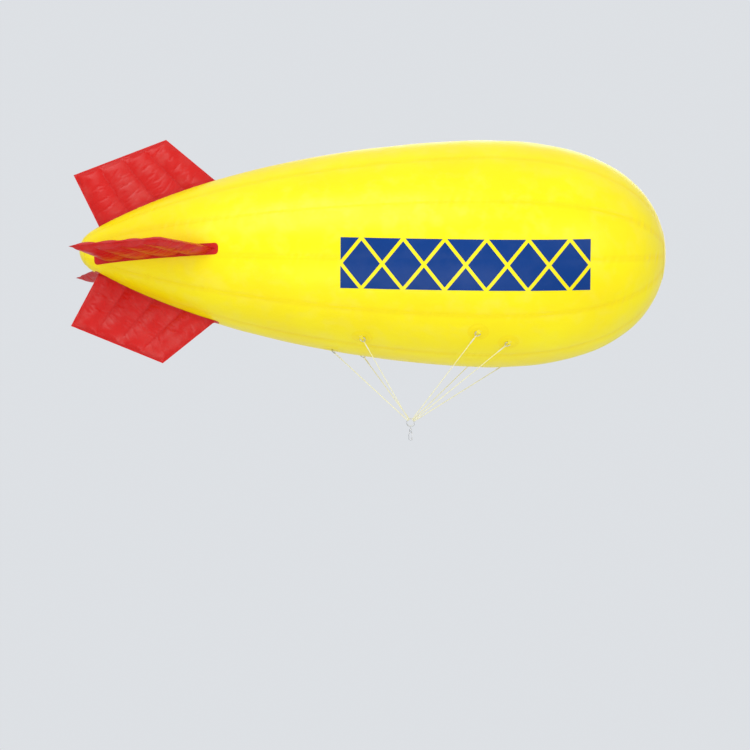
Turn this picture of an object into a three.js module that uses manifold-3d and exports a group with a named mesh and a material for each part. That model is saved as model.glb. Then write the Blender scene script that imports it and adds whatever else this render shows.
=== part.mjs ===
// An advertising blimp balloon: a teardrop hull, four fins at its tail and a rope bridle under its belly.
// Millimetres. +X points to the nose, +Y to the left side and +Z up.
// The origin is the hull's centre of buoyancy, on the hull's long axis.
import * as THREE from "three";
import { mergeVertices } from "three/addons/utils/BufferGeometryUtils.js";
import Module from "manifold-3d";

const wasm = await Module();
wasm.setup();

// Hull
const HULL_LENGTH = 6000;
const HULL_RADIUS = 1166;
const TAIL_TO_ORIGIN = 3500;
const TAIL_TO_GIRTH = 4174;
const TAIL_CAP_LENGTH = 147;
const TAIL_CAP_RADIUS = 216;
const TAIL_CONE_SLOPE = 0.561;
const TAIL_TIP_REACH = 80;
const TAIL_CAP_REACH = 93;
const CONE_REACH = 1570;
const GIRTH_REACH_AFT = 268;
const GIRTH_REACH_FORE = 1659;
const NOSE_REACH = 318;
const SKIN = 10;
const GORES = 12;
const SIDES_PER_GORE = 3;

// Welded and sewn pieces on the skin
const SEAT_GAP = 0.3;
const PATCH_THICKNESS = 4;
const PATCH_RADIUS = 110;
const NOSE_CAP_RADIUS = 260;
const TAIL_DISC_RADIUS = 150;

// Fins: corners of the top one as distance from the origin and from the hull's axis
const FIN_TIP_TRAILING = [-3576, 790];
const FIN_TIP_LEADING = [-2631, 1171];
const FIN_ROOT_LEADING = [-2100, 729];
const FIN_ROOT_TRAILING = [-3307, 255];
const FIN_ROOT_SINK = 0.12;
const FIN_EDGE = 12;
const FIN_BULGE = 38;
const FIN_ROUNDING = 140;
const SIDE_FIN_DROP = 125;
const ROOT_STRIP_HALF_WIDTH = 60;
const ROOT_STRIP_OVERHANG = 40;

// Bridle
const RING_CENTRE = new THREE.Vector3(-97, 0, -1767);
const RING_RADIUS = 40;
const RING_WIRE = 5;
const D_WIRE = 4;
const D_INNER_HALF_WIDTH = 23;
const D_SIDE = 14;
const D_BAR_HEIGHT = 12;
const D_CHAMFER = 1.6;
const TAB_HALF_WIDTH = 20;
const TAB_HALF_LENGTH = 28;
const TAB_FOLD = 3;
const TAB_EDGE = 2;
const TAB_BAR_SLACK = 1.2;
const LINE_RADIUS = 4;
const WHIPPING_RADIUS = 6.5;
const WHIPPING_LENGTH = 70;
const EYE_HALF_WIDTH = 7;
const EYE_LENGTH = 34;
const EYE_STRIP = 6;
const EYE_SLACK = 1.4;

// Swivel and snap hook, down from the ring
const SWIVEL_EYE_THICKNESS = 8;
const SWIVEL_EYE_HALF_WIDTH = 8;
const SWIVEL_EYE_DROP = 14;
const SWIVEL_EYE_CHAMFER = 2;
const STEM_RADIUS = 4;
const STEM_HEAD_RADIUS = 7.5;
const STEM_HEAD_HEIGHT = 9;
const BARREL_DROP = 6;
const BARREL_RADIUS = 13;
const BARREL_HEIGHT = 34;
const BARREL_ROOF = 8;
const BARREL_CHAMFER = 3;
const RUNNING_GAP = 0.8;
const HOOK_LENGTH = 84;
const HOOK_HALF_WIDTH = 22;
const HOOK_STRIP = 9;
const HOOK_THICKNESS = 10;
const HOOK_CHAMFER = 1.5;
const HOOK_SEAT_HALF_WIDTH = 9;
const HOOK_SEAT_RISE = 3;
const HOOK_THROAT_RISE = 3;
const GATE_PIVOT_X = 17;
const GATE_PIVOT_DROP = 26;
const GATE_TIP_X = 7.4;
const GATE_TIP_DROP = 61;
const GATE_HALF_WIDTH = 3.5;
const GATE_THICKNESS = 5;
const GATE_PIN_RADIUS = 1.6;
const GATE_EYE_RADIUS = 5;
const GATE_ROOM = 1;
const HOOK_MOUTH_TOP = 17;
const HOOK_MOUTH_BOTTOM = 55;

// Filling valve
const VALVE_X = -1500;
const VALVE_ANGLE = 45;
const VALVE_FLANGE_RADIUS = 80;
const SPOUT_RADIUS = 28;
const SPOUT_BORE = 21;
const SPOUT_HEIGHT = 36;
const SPOUT_DEPTH = 14;
const DIAPHRAGM_HEIGHT = 3;
const CAP_RADIUS = 32;
const CAP_THICKNESS = 6;
const PLUG_RADIUS = 18;
const PLUG_DEPTH = 11;
const VALVE_PIN_OFFSET = 44;
const VALVE_PIN_HEIGHT = 34;
const VALVE_PIN_RADIUS = 2.5;
const VALVE_KNUCKLE_RADIUS = 6;
const VALVE_STRAP_HALF_WIDTH = 9;
const VALVE_STRAP_ROOM = 1;
const VALVE_LUG_THICKNESS = 5;

// Joined solids run this far into each other, and a turning knuckle is this much smaller than its ears
const ROOTING = 2;
const KNUCKLE_RELIEF = 0.5;

// Sides of round pieces
const DISC_SIDES = 48;
const PATCH_SIDES = 32;
const SPOUT_SIDES = 24;
const KNUCKLE_SIDES = 16;
const PIN_SIDES = 12;
const LINE_SIDES = 8;
const WHIPPING_SIDES = 10;

const MERGE_DISTANCE = 1e-4;
const LEFT = new THREE.Vector3(0, 1, 0);
const QUARTER_TURN = Math.PI / 2;

const MATERIALS = {
  hullSkin: { color: 0xfff500, roughness: 0.35, metalness: 0 },
  finSkin: { color: 0xda251c, roughness: 0.35, metalness: 0 },
  webbing: { color: 0xf2e600, roughness: 0.8, metalness: 0 },
  rope: { color: 0xfffbd0, roughness: 0.8, metalness: 0 },
  steel: { color: 0xb8bcc0, roughness: 0.3, metalness: 1 },
  valvePlastic: { color: 0xe8e8e4, roughness: 0.5, metalness: 0 },
};

const balloon = new THREE.Group();
const snap = new THREE.Group();
balloon.add(snap);

// A closed geometry as a solid that can be joined and cut.
function solid(geometry) {
  const bare = new THREE.BufferGeometry();
  bare.setAttribute("position", geometry.getAttribute("position"));
  bare.setIndex(geometry.getIndex());
  const merged = mergeVertices(bare, MERGE_DISTANCE);
  const corners = merged.getIndex().array;
  const triVerts = [];
  for (let i = 0; i < corners.length; i += 3) {
    const [a, b, c] = corners.slice(i, i + 3);
    if (a !== b && b !== c && c !== a) triVerts.push(a, b, c);
  }
  const vertProperties = merged.getAttribute("position").array;
  const mesh = new wasm.Mesh({ numProp: 3, vertProperties, triVerts: new Uint32Array(triVerts) });
  return new wasm.Manifold(mesh);
}

// The solid back as a geometry.
function geometryOf(body) {
  const mesh = body.getMesh();
  const geometry = new THREE.BufferGeometry();
  geometry.setAttribute("position", new THREE.BufferAttribute(mesh.vertProperties, 3));
  geometry.setIndex(new THREE.BufferAttribute(mesh.triVerts, 1));
  return geometry;
}

// One named piece, in its own finish, added to a group.
function piece(name, geometry, finish, group = balloon) {
  const shown = geometry.isBufferGeometry ? geometry : geometryOf(geometry);
  const mesh = new THREE.Mesh(shown, new THREE.MeshStandardMaterial(MATERIALS[finish]));
  mesh.name = name;
  group.add(mesh);
  return mesh;
}

// A box, a cylinder along Z and a flat extrusion centred on its plane, as solids.
function box(low, high, matrix = new THREE.Matrix4()) {
  const size = high.map((h, i) => h - low[i]);
  const middle = high.map((h, i) => (h + low[i]) / 2);
  return solid(new THREE.BoxGeometry(...size).translate(...middle).applyMatrix4(matrix));
}

function rod(radius, low, high, sides, matrix = new THREE.Matrix4()) {
  const geometry = new THREE.CylinderGeometry(radius, radius, high - low, sides);
  geometry.rotateX(QUARTER_TURN).translate(0, 0, (low + high) / 2);
  return solid(geometry.applyMatrix4(matrix));
}

function plate(shape, thickness, chamfer, arcSteps = 6) {
  const geometry = new THREE.ExtrudeGeometry(shape, {
    depth: thickness - 2 * chamfer,
    bevelEnabled: chamfer > 0,
    bevelThickness: chamfer,
    bevelSize: chamfer,
    bevelOffset: -chamfer,
    bevelSegments: 1,
    curveSegments: arcSteps,
  });
  return geometry.translate(0, 0, chamfer - thickness / 2);
}

// A frame with its three axes and its origin, as a matrix.
function placed(xAxis, yAxis, zAxis, origin) {
  return new THREE.Matrix4().makeBasis(xAxis, yAxis, zAxis).setPosition(origin);
}

// Hull: one curve from tail to nose, in three stretches that share their tangents
const tailTip = -TAIL_TO_ORIGIN;
const noseTip = tailTip + HULL_LENGTH;
const girth = tailTip + TAIL_TO_GIRTH;
const coneStart = tailTip + TAIL_CAP_LENGTH;

const point = (x, radius) => new THREE.Vector2(x, radius);
const hullCurves = [
  {
    steps: 3,
    curve: new THREE.CubicBezierCurve(
      point(tailTip, 0),
      point(tailTip, TAIL_TIP_REACH),
      point(coneStart - TAIL_CAP_REACH, TAIL_CAP_RADIUS - TAIL_CAP_REACH * TAIL_CONE_SLOPE),
      point(coneStart, TAIL_CAP_RADIUS),
    ),
  },
  {
    steps: 12,
    curve: new THREE.CubicBezierCurve(
      point(coneStart, TAIL_CAP_RADIUS),
      point(coneStart + CONE_REACH, TAIL_CAP_RADIUS + CONE_REACH * TAIL_CONE_SLOPE),
      point(girth - GIRTH_REACH_AFT, HULL_RADIUS),
      point(girth, HULL_RADIUS),
    ),
  },
  {
    steps: 9,
    curve: new THREE.CubicBezierCurve(
      point(girth, HULL_RADIUS),
      point(girth + GIRTH_REACH_FORE, HULL_RADIUS),
      point(noseTip, NOSE_REACH),
      point(noseTip, 0),
    ),
  },
];

// The hull as a solid of revolution about X, grown outwards by a distance.
function hull(grow) {
  const profile = [];
  for (const { curve, steps } of hullCurves) {
    for (let i = profile.length ? 1 : 0; i <= steps; i++) {
      const at = curve.getPoint(i / steps);
      const along = curve.getTangent(i / steps);
      profile.push(new THREE.Vector2(at.y + grow * along.x, at.x - grow * along.y));
    }
  }
  profile[0].x = 0;
  profile.at(-1).x = 0;
  const turned = new THREE.LatheGeometry(profile, GORES * SIDES_PER_GORE);
  return solid(turned.rotateZ(-QUARTER_TURN));
}

// A frame on the hull's surface: its X runs along the hull to the nose, and its Z points out.
// The angle, in degrees, is from straight down, towards the left side.
function onHull(x, angle) {
  const { curve } = hullCurves.find((part) => x <= part.curve.v3.x);
  let [low, high] = [0, 1];
  while (high - low > MERGE_DISTANCE / 100) {
    const middle = (low + high) / 2;
    [low, high] = curve.getPoint(middle).x < x ? [middle, high] : [low, middle];
  }
  const along = curve.getTangent(low);
  const turn = THREE.MathUtils.degToRad(angle);
  const across = (lengthwise, radial) =>
    new THREE.Vector3(lengthwise, radial * Math.sin(turn), -radial * Math.cos(turn));
  const xAxis = across(along.x, along.y);
  const zAxis = across(-along.y, along.x);
  const yAxis = zAxis.clone().cross(xAxis);
  return placed(xAxis, yAxis, zAxis, across(x, curve.getPoint(low).y));
}

const seat = hull(SEAT_GAP);
const skinTop = hull(SEAT_GAP + PATCH_THICKNESS);
const layer = skinTop.subtract(seat);
const overLayer = hull(2 * SEAT_GAP + PATCH_THICKNESS);

// Envelope: a thin shell, open where the valve's spout passes through it
const valveFrame = onHull(VALVE_X, VALVE_ANGLE);

function envelope() {
  const spoutHole = rod(SPOUT_RADIUS + SEAT_GAP, -4 * SKIN, 4 * SKIN, SPOUT_SIDES, valveFrame);
  return hull(0).subtract(hull(-SKIN)).subtract(spoutHole);
}

piece("envelope", envelope(), "hullSkin");

// Round discs where the gores meet
function axialDisc(radius, fromX, toX) {
  const alongX = new THREE.Matrix4().makeRotationY(QUARTER_TURN);
  return layer.intersect(rod(radius, fromX, toX, DISC_SIDES, alongX));
}

piece("nose_cap", axialDisc(NOSE_CAP_RADIUS, 0, noseTip + SKIN), "hullSkin");
piece("tail_cap", axialDisc(TAIL_DISC_RADIUS, tailTip - SKIN, 0), "hullSkin");

// Fins: inflated pillows with a thin welded edge, each on a strip that is welded to the hull
const fins = [
  { name: "fin_top", turn: 0, drop: 0 },
  { name: "fin_bottom", turn: 2 * QUARTER_TURN, drop: 0 },
  { name: "fin_left", turn: -QUARTER_TURN, drop: SIDE_FIN_DROP },
  { name: "fin_right", turn: QUARTER_TURN, drop: SIDE_FIN_DROP },
];

// An edge's root end, carried on into the hull.
function sunk([tipX, tipR], [rootX, rootR]) {
  return [rootX + FIN_ROOT_SINK * (rootX - tipX), rootR + FIN_ROOT_SINK * (rootR - tipR)];
}

function finPillow() {
  const outline = new THREE.Shape(
    [
      FIN_TIP_TRAILING,
      sunk(FIN_TIP_TRAILING, FIN_ROOT_TRAILING),
      sunk(FIN_TIP_LEADING, FIN_ROOT_LEADING),
      FIN_TIP_LEADING,
    ].map(([x, radius]) => point(x, radius)),
  );
  const pillow = new THREE.ExtrudeGeometry(outline, {
    depth: FIN_EDGE,
    bevelThickness: FIN_BULGE,
    bevelSize: FIN_ROUNDING,
    bevelOffset: -FIN_ROUNDING,
    bevelSegments: 4,
  });
  return pillow.translate(0, 0, -FIN_EDGE / 2).rotateX(QUARTER_TURN);
}

for (const { name, turn, drop } of fins) {
  const toPlace = new THREE.Matrix4().makeRotationX(turn).setPosition(0, 0, -drop);
  const pillow = solid(finPillow().applyMatrix4(toPlace));
  const halfWidth = ROOT_STRIP_HALF_WIDTH;
  const stripFrom = FIN_ROOT_TRAILING[0] - ROOT_STRIP_OVERHANG;
  const stripTo = FIN_ROOT_LEADING[0] + ROOT_STRIP_OVERHANG;
  const strip = box([stripFrom, -halfWidth, 0], [stripTo, halfWidth, HULL_RADIUS], toPlace);
  piece(name, pillow.subtract(overLayer), "finSkin");
  piece(name + "_root", layer.intersect(strip), "finSkin");
}

// Bridle: where each line is tied, as a place on the hull and an angle round the gathering ring
const bridleLines = [
  { name: "left_bow", x: 885, angle: 27.5, ringAngle: 24 },
  { name: "right_bow", x: 885, angle: -27.5, ringAngle: 37 },
  { name: "left_fore", x: 577, angle: 35, ringAngle: 51 },
  { name: "right_fore", x: 577, angle: -35, ringAngle: 63 },
  { name: "left_aft", x: -597, angle: 24, ringAngle: 111 },
  { name: "right_aft", x: -597, angle: -24, ringAngle: 127 },
  { name: "keel_aft", x: -903, angle: 0, ringAngle: 144 },
];

// A long loop with round ends, wide enough for a wire whose centre is at the origin.
function loopOutline(path, radius, low, high) {
  path.absarc(0, high - radius, radius, 0, Math.PI);
  path.absarc(0, low + radius, radius, Math.PI, 2 * Math.PI);
  path.closePath();
  return path;
}

function ropeEye(wireRadius) {
  const low = -wireRadius - EYE_SLACK;
  const outerHalf = EYE_HALF_WIDTH + EYE_STRIP;
  const outer = loopOutline(new THREE.Shape(), outerHalf, low - EYE_STRIP, EYE_LENGTH + EYE_STRIP);
  outer.holes.push(loopOutline(new THREE.Path(), EYE_HALF_WIDTH, low, EYE_LENGTH));
  return plate(outer, EYE_STRIP, 0, 4);
}

// A round steel wire bent to a D, with its straight bar along X at the origin.
function dRing() {
  const outerHalf = D_INNER_HALF_WIDTH + 2 * D_WIRE;
  const outline = new THREE.Shape();
  outline.absarc(0, D_SIDE, outerHalf, 0, Math.PI);
  outline.absarc(-outerHalf + 2 * D_WIRE, D_WIRE, 2 * D_WIRE, Math.PI, 1.5 * Math.PI);
  outline.absarc(outerHalf - 2 * D_WIRE, D_WIRE, 2 * D_WIRE, 1.5 * Math.PI, 2 * Math.PI);
  outline.closePath();
  const opening = new THREE.Path();
  opening.absarc(0, D_SIDE, D_INNER_HALF_WIDTH, 0, Math.PI);
  opening.lineTo(-D_INNER_HALF_WIDTH, D_WIRE);
  opening.lineTo(D_INNER_HALF_WIDTH, D_WIRE);
  opening.closePath();
  outline.holes.push(opening);
  return plate(outline, 2 * D_WIRE, D_CHAMFER, 4);
}

// A welded disc with a folded webbing tab on it, whose fold holds the D-ring's bar.
function loadPatch(surface, tabFrame) {
  const disc = layer.intersect(rod(PATCH_RADIUS, -3 * PATCH_RADIUS, PATCH_RADIUS, PATCH_SIDES, surface));
  const foldTop = D_WIRE + TAB_FOLD;
  const edgeTop = PATCH_THICKNESS + TAB_EDGE - D_BAR_HEIGHT;
  const side = new THREE.Shape();
  side.moveTo(-TAB_HALF_LENGTH, -2 * D_BAR_HEIGHT);
  side.lineTo(TAB_HALF_LENGTH, -2 * D_BAR_HEIGHT);
  side.lineTo(TAB_HALF_LENGTH, edgeTop);
  side.lineTo(foldTop, foldTop);
  side.lineTo(-foldTop, foldTop);
  side.lineTo(-TAB_HALF_LENGTH, edgeTop);
  side.closePath();
  const upright = plate(side, 2 * TAB_HALF_WIDTH, 0).rotateX(QUARTER_TURN).rotateZ(QUARTER_TURN);
  const tab = solid(upright.applyMatrix4(tabFrame)).subtract(hull(SEAT_GAP + PATCH_THICKNESS / 2));
  const alongBar = tabFrame.clone().multiply(new THREE.Matrix4().makeRotationY(QUARTER_TURN));
  const barRoom = rod(D_WIRE + TAB_BAR_SLACK, -2 * TAB_HALF_WIDTH, 2 * TAB_HALF_WIDTH, PIN_SIDES, alongBar);
  return disc.add(tab).subtract(barRoom);
}

function ringWireAt(degrees) {
  const turn = THREE.MathUtils.degToRad(degrees);
  const outwards = new THREE.Vector3(Math.cos(turn), 0, Math.sin(turn));
  return RING_CENTRE.clone().addScaledVector(outwards, RING_RADIUS);
}

for (const { name, x, angle, ringAngle } of bridleLines) {
  const surface = onHull(x, angle);
  const outwards = new THREE.Vector3().setFromMatrixColumn(surface, 2);
  const barCentre = new THREE.Vector3().setFromMatrixPosition(surface);
  barCentre.addScaledVector(outwards, D_BAR_HEIGHT);
  const ringPoint = ringWireAt(ringAngle);
  const pull = ringPoint.clone().sub(barCentre).normalize();
  const bar = outwards.clone().cross(pull).normalize();
  const tabFrame = placed(bar, outwards.clone().cross(bar), outwards, barCentre);
  piece("patch_" + name, loadPatch(surface, tabFrame), "webbing");

  const ring = piece("d_ring_" + name, dRing(), "steel");
  ring.applyMatrix4(placed(bar, pull, bar.clone().cross(pull), barCentre));

  const bow = D_SIDE + D_INNER_HALF_WIDTH + D_WIRE;
  const top = barCentre.clone().addScaledVector(pull, bow);
  const length = top.distanceTo(ringPoint);
  const lineFrame = placed(pull.clone().cross(bar), pull, bar, top);
  const eyeNormal = pull.clone().cross(LEFT).normalize();
  const sideways = new THREE.Vector3().setFromMatrixColumn(lineFrame, 0);
  const twist = Math.atan2(eyeNormal.dot(sideways), eyeNormal.dot(bar));
  const alongLine = new THREE.Matrix4().makeRotationX(-QUARTER_TURN);
  const upperEye = solid(ropeEye(D_WIRE));
  const lowerEye = solid(ropeEye(RING_WIRE).rotateZ(Math.PI).rotateY(twist).translate(0, length, 0));
  const whippingFrom = EYE_LENGTH + EYE_STRIP / 2;
  const whippingTo = whippingFrom + WHIPPING_LENGTH;
  const line = rod(LINE_RADIUS, whippingFrom, length - whippingFrom, LINE_SIDES, alongLine)
    .add(rod(WHIPPING_RADIUS, whippingFrom, whippingTo, WHIPPING_SIDES, alongLine))
    .add(rod(WHIPPING_RADIUS, length - whippingTo, length - whippingFrom, WHIPPING_SIDES, alongLine))
    .add(upperEye)
    .add(lowerEye);
  piece("line_" + name, line, "rope").applyMatrix4(lineFrame);
}

const gatheringRing = new THREE.TorusGeometry(RING_RADIUS, RING_WIRE, 8, 32).rotateX(QUARTER_TURN);
piece("bridle_ring", gatheringRing, "steel").position.copy(RING_CENTRE);

// Swivel and snap hook, in a group whose origin is the lowest point of the ring's wire
snap.position.copy(ringWireAt(-90));
const eyeFoot = -SWIVEL_EYE_DROP - EYE_STRIP;
const barrelTop = eyeFoot - BARREL_DROP;
const barrelFoot = barrelTop - BARREL_HEIGHT;
const headTop = barrelTop - BARREL_ROOF - RUNNING_GAP;

function swivelEye() {
  const high = RING_WIRE + 2 * SEAT_GAP;
  const radius = SWIVEL_EYE_HALF_WIDTH;
  const outline = loopOutline(new THREE.Shape(), radius + EYE_STRIP, eyeFoot, high + EYE_STRIP);
  outline.holes.push(loopOutline(new THREE.Path(), radius, -SWIVEL_EYE_DROP, high));
  const eye = plate(outline, SWIVEL_EYE_THICKNESS, SWIVEL_EYE_CHAMFER)
    .rotateX(QUARTER_TURN)
    .rotateZ(QUARTER_TURN);
  const stem = rod(STEM_RADIUS, headTop - ROOTING, eyeFoot + ROOTING, KNUCKLE_SIDES);
  const head = rod(STEM_HEAD_RADIUS, headTop - STEM_HEAD_HEIGHT, headTop, KNUCKLE_SIDES);
  return solid(eye).add(stem).add(head);
}

piece("swivel_eye", swivelEye(), "steel", snap);

// The barrel is a turned cup whose roof holds the stem's head.
function barrel() {
  const roof = barrelTop - BARREL_ROOF;
  const chamberFoot = headTop - STEM_HEAD_HEIGHT - RUNNING_GAP;
  const chamberRadius = STEM_HEAD_RADIUS + RUNNING_GAP;
  const neckRadius = STEM_RADIUS + RUNNING_GAP;
  const profile = [
    [0, barrelFoot],
    [BARREL_RADIUS - BARREL_CHAMFER, barrelFoot],
    [BARREL_RADIUS, barrelFoot + BARREL_CHAMFER],
    [BARREL_RADIUS, barrelTop - BARREL_CHAMFER],
    [BARREL_RADIUS - BARREL_CHAMFER, barrelTop],
    [neckRadius, barrelTop],
    [neckRadius, roof],
    [chamberRadius, roof],
    [chamberRadius, chamberFoot],
    [0, chamberFoot],
  ].map(([radius, height]) => point(radius, height));
  return solid(new THREE.LatheGeometry(profile, SPOUT_SIDES).rotateX(QUARTER_TURN));
}

// The hook's bow, with a flat seat inside its foot for the ground line's thimble.
function hookBow() {
  const foot = -HOOK_LENGTH;
  const outline = loopOutline(new THREE.Shape(), HOOK_HALF_WIDTH, foot, ROOTING);
  const inner = HOOK_HALF_WIDTH - HOOK_STRIP;
  const throatTop = HOOK_THROAT_RISE - HOOK_MOUTH_TOP;
  outline.holes.push(loopOutline(new THREE.Path(), inner, foot + HOOK_STRIP, throatTop));
  const bow = solid(plate(outline, HOOK_THICKNESS, HOOK_CHAMFER).rotateX(QUARTER_TURN));
  const half = HOOK_THICKNESS;
  const seatTop = foot + HOOK_STRIP + HOOK_SEAT_RISE;
  const seatBlock = box(
    [-HOOK_SEAT_HALF_WIDTH, -half / 2, foot + ROOTING],
    [HOOK_SEAT_HALF_WIDTH, half / 2, seatTop],
  );
  const mouth = box([0, -half, -HOOK_MOUTH_BOTTOM], [2 * HOOK_HALF_WIDTH, half, -HOOK_MOUTH_TOP]);
  return bow.add(seatBlock).subtract(mouth);
}

const aroundPivot = new THREE.Matrix4()
  .makeRotationX(QUARTER_TURN)
  .setPosition(GATE_PIVOT_X, 0, -GATE_PIVOT_DROP);

function snapHook() {
  const toBarrel = new THREE.Matrix4().makeTranslation(0, 0, barrelFoot);
  const ear = HOOK_THICKNESS / 2;
  const slot = GATE_THICKNESS / 2 + RUNNING_GAP / 2;
  const earBlock = box(
    [GATE_PIVOT_X - GATE_EYE_RADIUS, -ear, -GATE_PIVOT_DROP],
    [GATE_PIVOT_X + GATE_EYE_RADIUS, ear, ROOTING - HOOK_MOUTH_TOP],
  );
  const gateRoom = box(
    [0, -slot, -GATE_PIVOT_DROP - 2 * GATE_EYE_RADIUS],
    [2 * HOOK_HALF_WIDTH, slot, GATE_EYE_RADIUS + GATE_ROOM - GATE_PIVOT_DROP],
  );
  const ears = earBlock.add(rod(GATE_EYE_RADIUS, -ear, ear, KNUCKLE_SIDES, aroundPivot));
  const pin = rod(GATE_PIN_RADIUS, -ear, ear, PIN_SIDES, aroundPivot);
  const hook = hookBow().add(ears).subtract(gateRoom).add(pin);
  return barrel().add(solid(geometryOf(hook).applyMatrix4(toBarrel)));
}

piece("snap_hook", snapHook(), "steel", snap);

// The gate closes the hook's mouth and lies against the inside of its nose.
function gate() {
  const length = Math.hypot(GATE_TIP_X - GATE_PIVOT_X, GATE_TIP_DROP - GATE_PIVOT_DROP);
  const lean = Math.atan2(GATE_PIVOT_X - GATE_TIP_X, GATE_TIP_DROP - GATE_PIVOT_DROP);
  const half = GATE_THICKNESS / 2;
  const hang = new THREE.Matrix4().makeRotationY(lean).setPosition(GATE_PIVOT_X, 0, -GATE_PIVOT_DROP);
  const bar = box([-GATE_HALF_WIDTH, -half, -length], [GATE_HALF_WIDTH, half, 0], hang);
  const knuckle = rod(GATE_EYE_RADIUS - KNUCKLE_RELIEF, -half, half, KNUCKLE_SIDES, aroundPivot);
  const pinRoom = rod(GATE_PIN_RADIUS + RUNNING_GAP / 2, -2 * half, 2 * half, PIN_SIDES, aroundPivot);
  return bar.add(knuckle).subtract(pinRoom);
}

piece("hook_gate", gate(), "steel", snap).position.z = barrelFoot;

// Filling valve: a flanged spout with a closed diaphragm, and a plug on a hinged strap
const valvePinAxis = new THREE.Matrix4()
  .makeRotationX(QUARTER_TURN)
  .setPosition(-VALVE_PIN_OFFSET, 0, VALVE_PIN_HEIGHT);

function valveBody() {
  const flangeRod = rod(VALVE_FLANGE_RADIUS, -SPOUT_DEPTH, SPOUT_HEIGHT, PATCH_SIDES, valveFrame);
  const flange = layer.intersect(flangeRod);
  const spout = rod(SPOUT_RADIUS, -SPOUT_DEPTH, SPOUT_HEIGHT, SPOUT_SIDES, valveFrame);
  const bore = rod(SPOUT_BORE, DIAPHRAGM_HEIGHT, SPOUT_HEIGHT + ROOTING, SPOUT_SIDES, valveFrame);
  const strapRoom = VALVE_STRAP_HALF_WIDTH + RUNNING_GAP;
  const lugReach = strapRoom + VALVE_LUG_THICKNESS;
  const lugBlock = box(
    [-VALVE_PIN_OFFSET - VALVE_KNUCKLE_RADIUS, -lugReach, -SPOUT_DEPTH],
    [VALVE_KNUCKLE_RADIUS - VALVE_PIN_OFFSET, lugReach, VALVE_PIN_HEIGHT],
    valveFrame,
  );
  const aroundPin = valveFrame.clone().multiply(valvePinAxis);
  const knuckleEnds = rod(VALVE_KNUCKLE_RADIUS, -lugReach, lugReach, KNUCKLE_SIDES, aroundPin);
  const roomFoot = VALVE_PIN_HEIGHT - VALVE_KNUCKLE_RADIUS - VALVE_STRAP_ROOM;
  const knuckleRoom = box(
    [-VALVE_PIN_OFFSET - 2 * VALVE_KNUCKLE_RADIUS, -strapRoom, roomFoot],
    [2 * VALVE_KNUCKLE_RADIUS - VALVE_PIN_OFFSET, strapRoom, 2 * SPOUT_HEIGHT],
    valveFrame,
  );
  const pin = rod(VALVE_PIN_RADIUS, -lugReach, lugReach, PIN_SIDES, aroundPin);
  const lugs = lugBlock.add(knuckleEnds).subtract(seat).subtract(knuckleRoom).add(pin);
  return flange.add(spout).add(lugs).subtract(bore);
}

piece("valve_body", valveBody(), "valvePlastic");

function valveCap() {
  const low = SPOUT_HEIGHT + SEAT_GAP;
  const lid = rod(CAP_RADIUS, low, low + CAP_THICKNESS, SPOUT_SIDES);
  const plug = rod(PLUG_RADIUS, low - PLUG_DEPTH, low + ROOTING, SPOUT_SIDES);
  const half = VALVE_STRAP_HALF_WIDTH;
  const strap = box([-VALVE_PIN_OFFSET, -half, low], [0, half, low + CAP_THICKNESS / 2]);
  const knuckle = rod(VALVE_KNUCKLE_RADIUS - KNUCKLE_RELIEF, -half, half, KNUCKLE_SIDES, valvePinAxis);
  const pinRoom = rod(VALVE_PIN_RADIUS + RUNNING_GAP / 2, -2 * half, 2 * half, PIN_SIDES, valvePinAxis);
  return lid.add(plug).add(strap).add(knuckle).subtract(pinRoom);
}

piece("valve_cap", valveCap(), "valvePlastic").applyMatrix4(valveFrame);

export default balloon;
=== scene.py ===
"""The looks of an advertising blimp balloon: welded vinyl hull and fins, printed bands and a rope bridle.
Metres. +X points to the nose, +Y to the left side and +Z up. Angles round the hull are from straight down
towards the left side.
"""

import math

import bpy
import numpy as np
from mathutils import Matrix, Vector
from mathutils.bvhtree import BVHTree


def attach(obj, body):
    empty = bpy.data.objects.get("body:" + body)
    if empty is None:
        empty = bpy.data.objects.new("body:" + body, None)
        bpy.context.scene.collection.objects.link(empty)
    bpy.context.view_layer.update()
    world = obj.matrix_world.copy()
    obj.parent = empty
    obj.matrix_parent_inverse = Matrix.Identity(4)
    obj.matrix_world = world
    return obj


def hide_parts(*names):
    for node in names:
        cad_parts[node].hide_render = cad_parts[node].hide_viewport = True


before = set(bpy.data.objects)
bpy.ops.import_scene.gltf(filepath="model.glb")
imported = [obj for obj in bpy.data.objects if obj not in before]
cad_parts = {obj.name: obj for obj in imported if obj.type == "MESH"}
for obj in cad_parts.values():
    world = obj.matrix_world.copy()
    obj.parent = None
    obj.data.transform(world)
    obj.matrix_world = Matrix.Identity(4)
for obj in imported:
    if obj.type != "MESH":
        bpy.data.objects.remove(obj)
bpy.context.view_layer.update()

MM = 0.001
FULL_TURN = 2 * math.pi
HALF_TURN = math.pi
QUARTER_TURN = math.pi / 2
WELD_DISTANCE = 0.01 * MM

# Hull outline: place, handle before and handle after, as distance from the origin and radius
TAIL_TIP = -3.5
NOSE_TIP = 2.5
HULL_OUTLINE = [
    ((TAIL_TIP, 0), (TAIL_TIP, -0.08), (TAIL_TIP, 0.08)),
    ((-3.353, 0.216), (-3.446, 0.16383), (-1.783, 1.09677)),
    ((0.674, 1.166), (0.406, 1.166), (2.333, 1.166)),
    ((NOSE_TIP, 0), (NOSE_TIP, 0.318), (NOSE_TIP, -0.318)),
]
ROWS_PER_STRETCH = 172
GORES = 12
COLUMNS_PER_GORE = 16
FIRST_SEAM = math.radians(15)
GORE_ANGLE = FULL_TURN / GORES
WIDEST_HALF_GORE = 0.305

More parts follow.
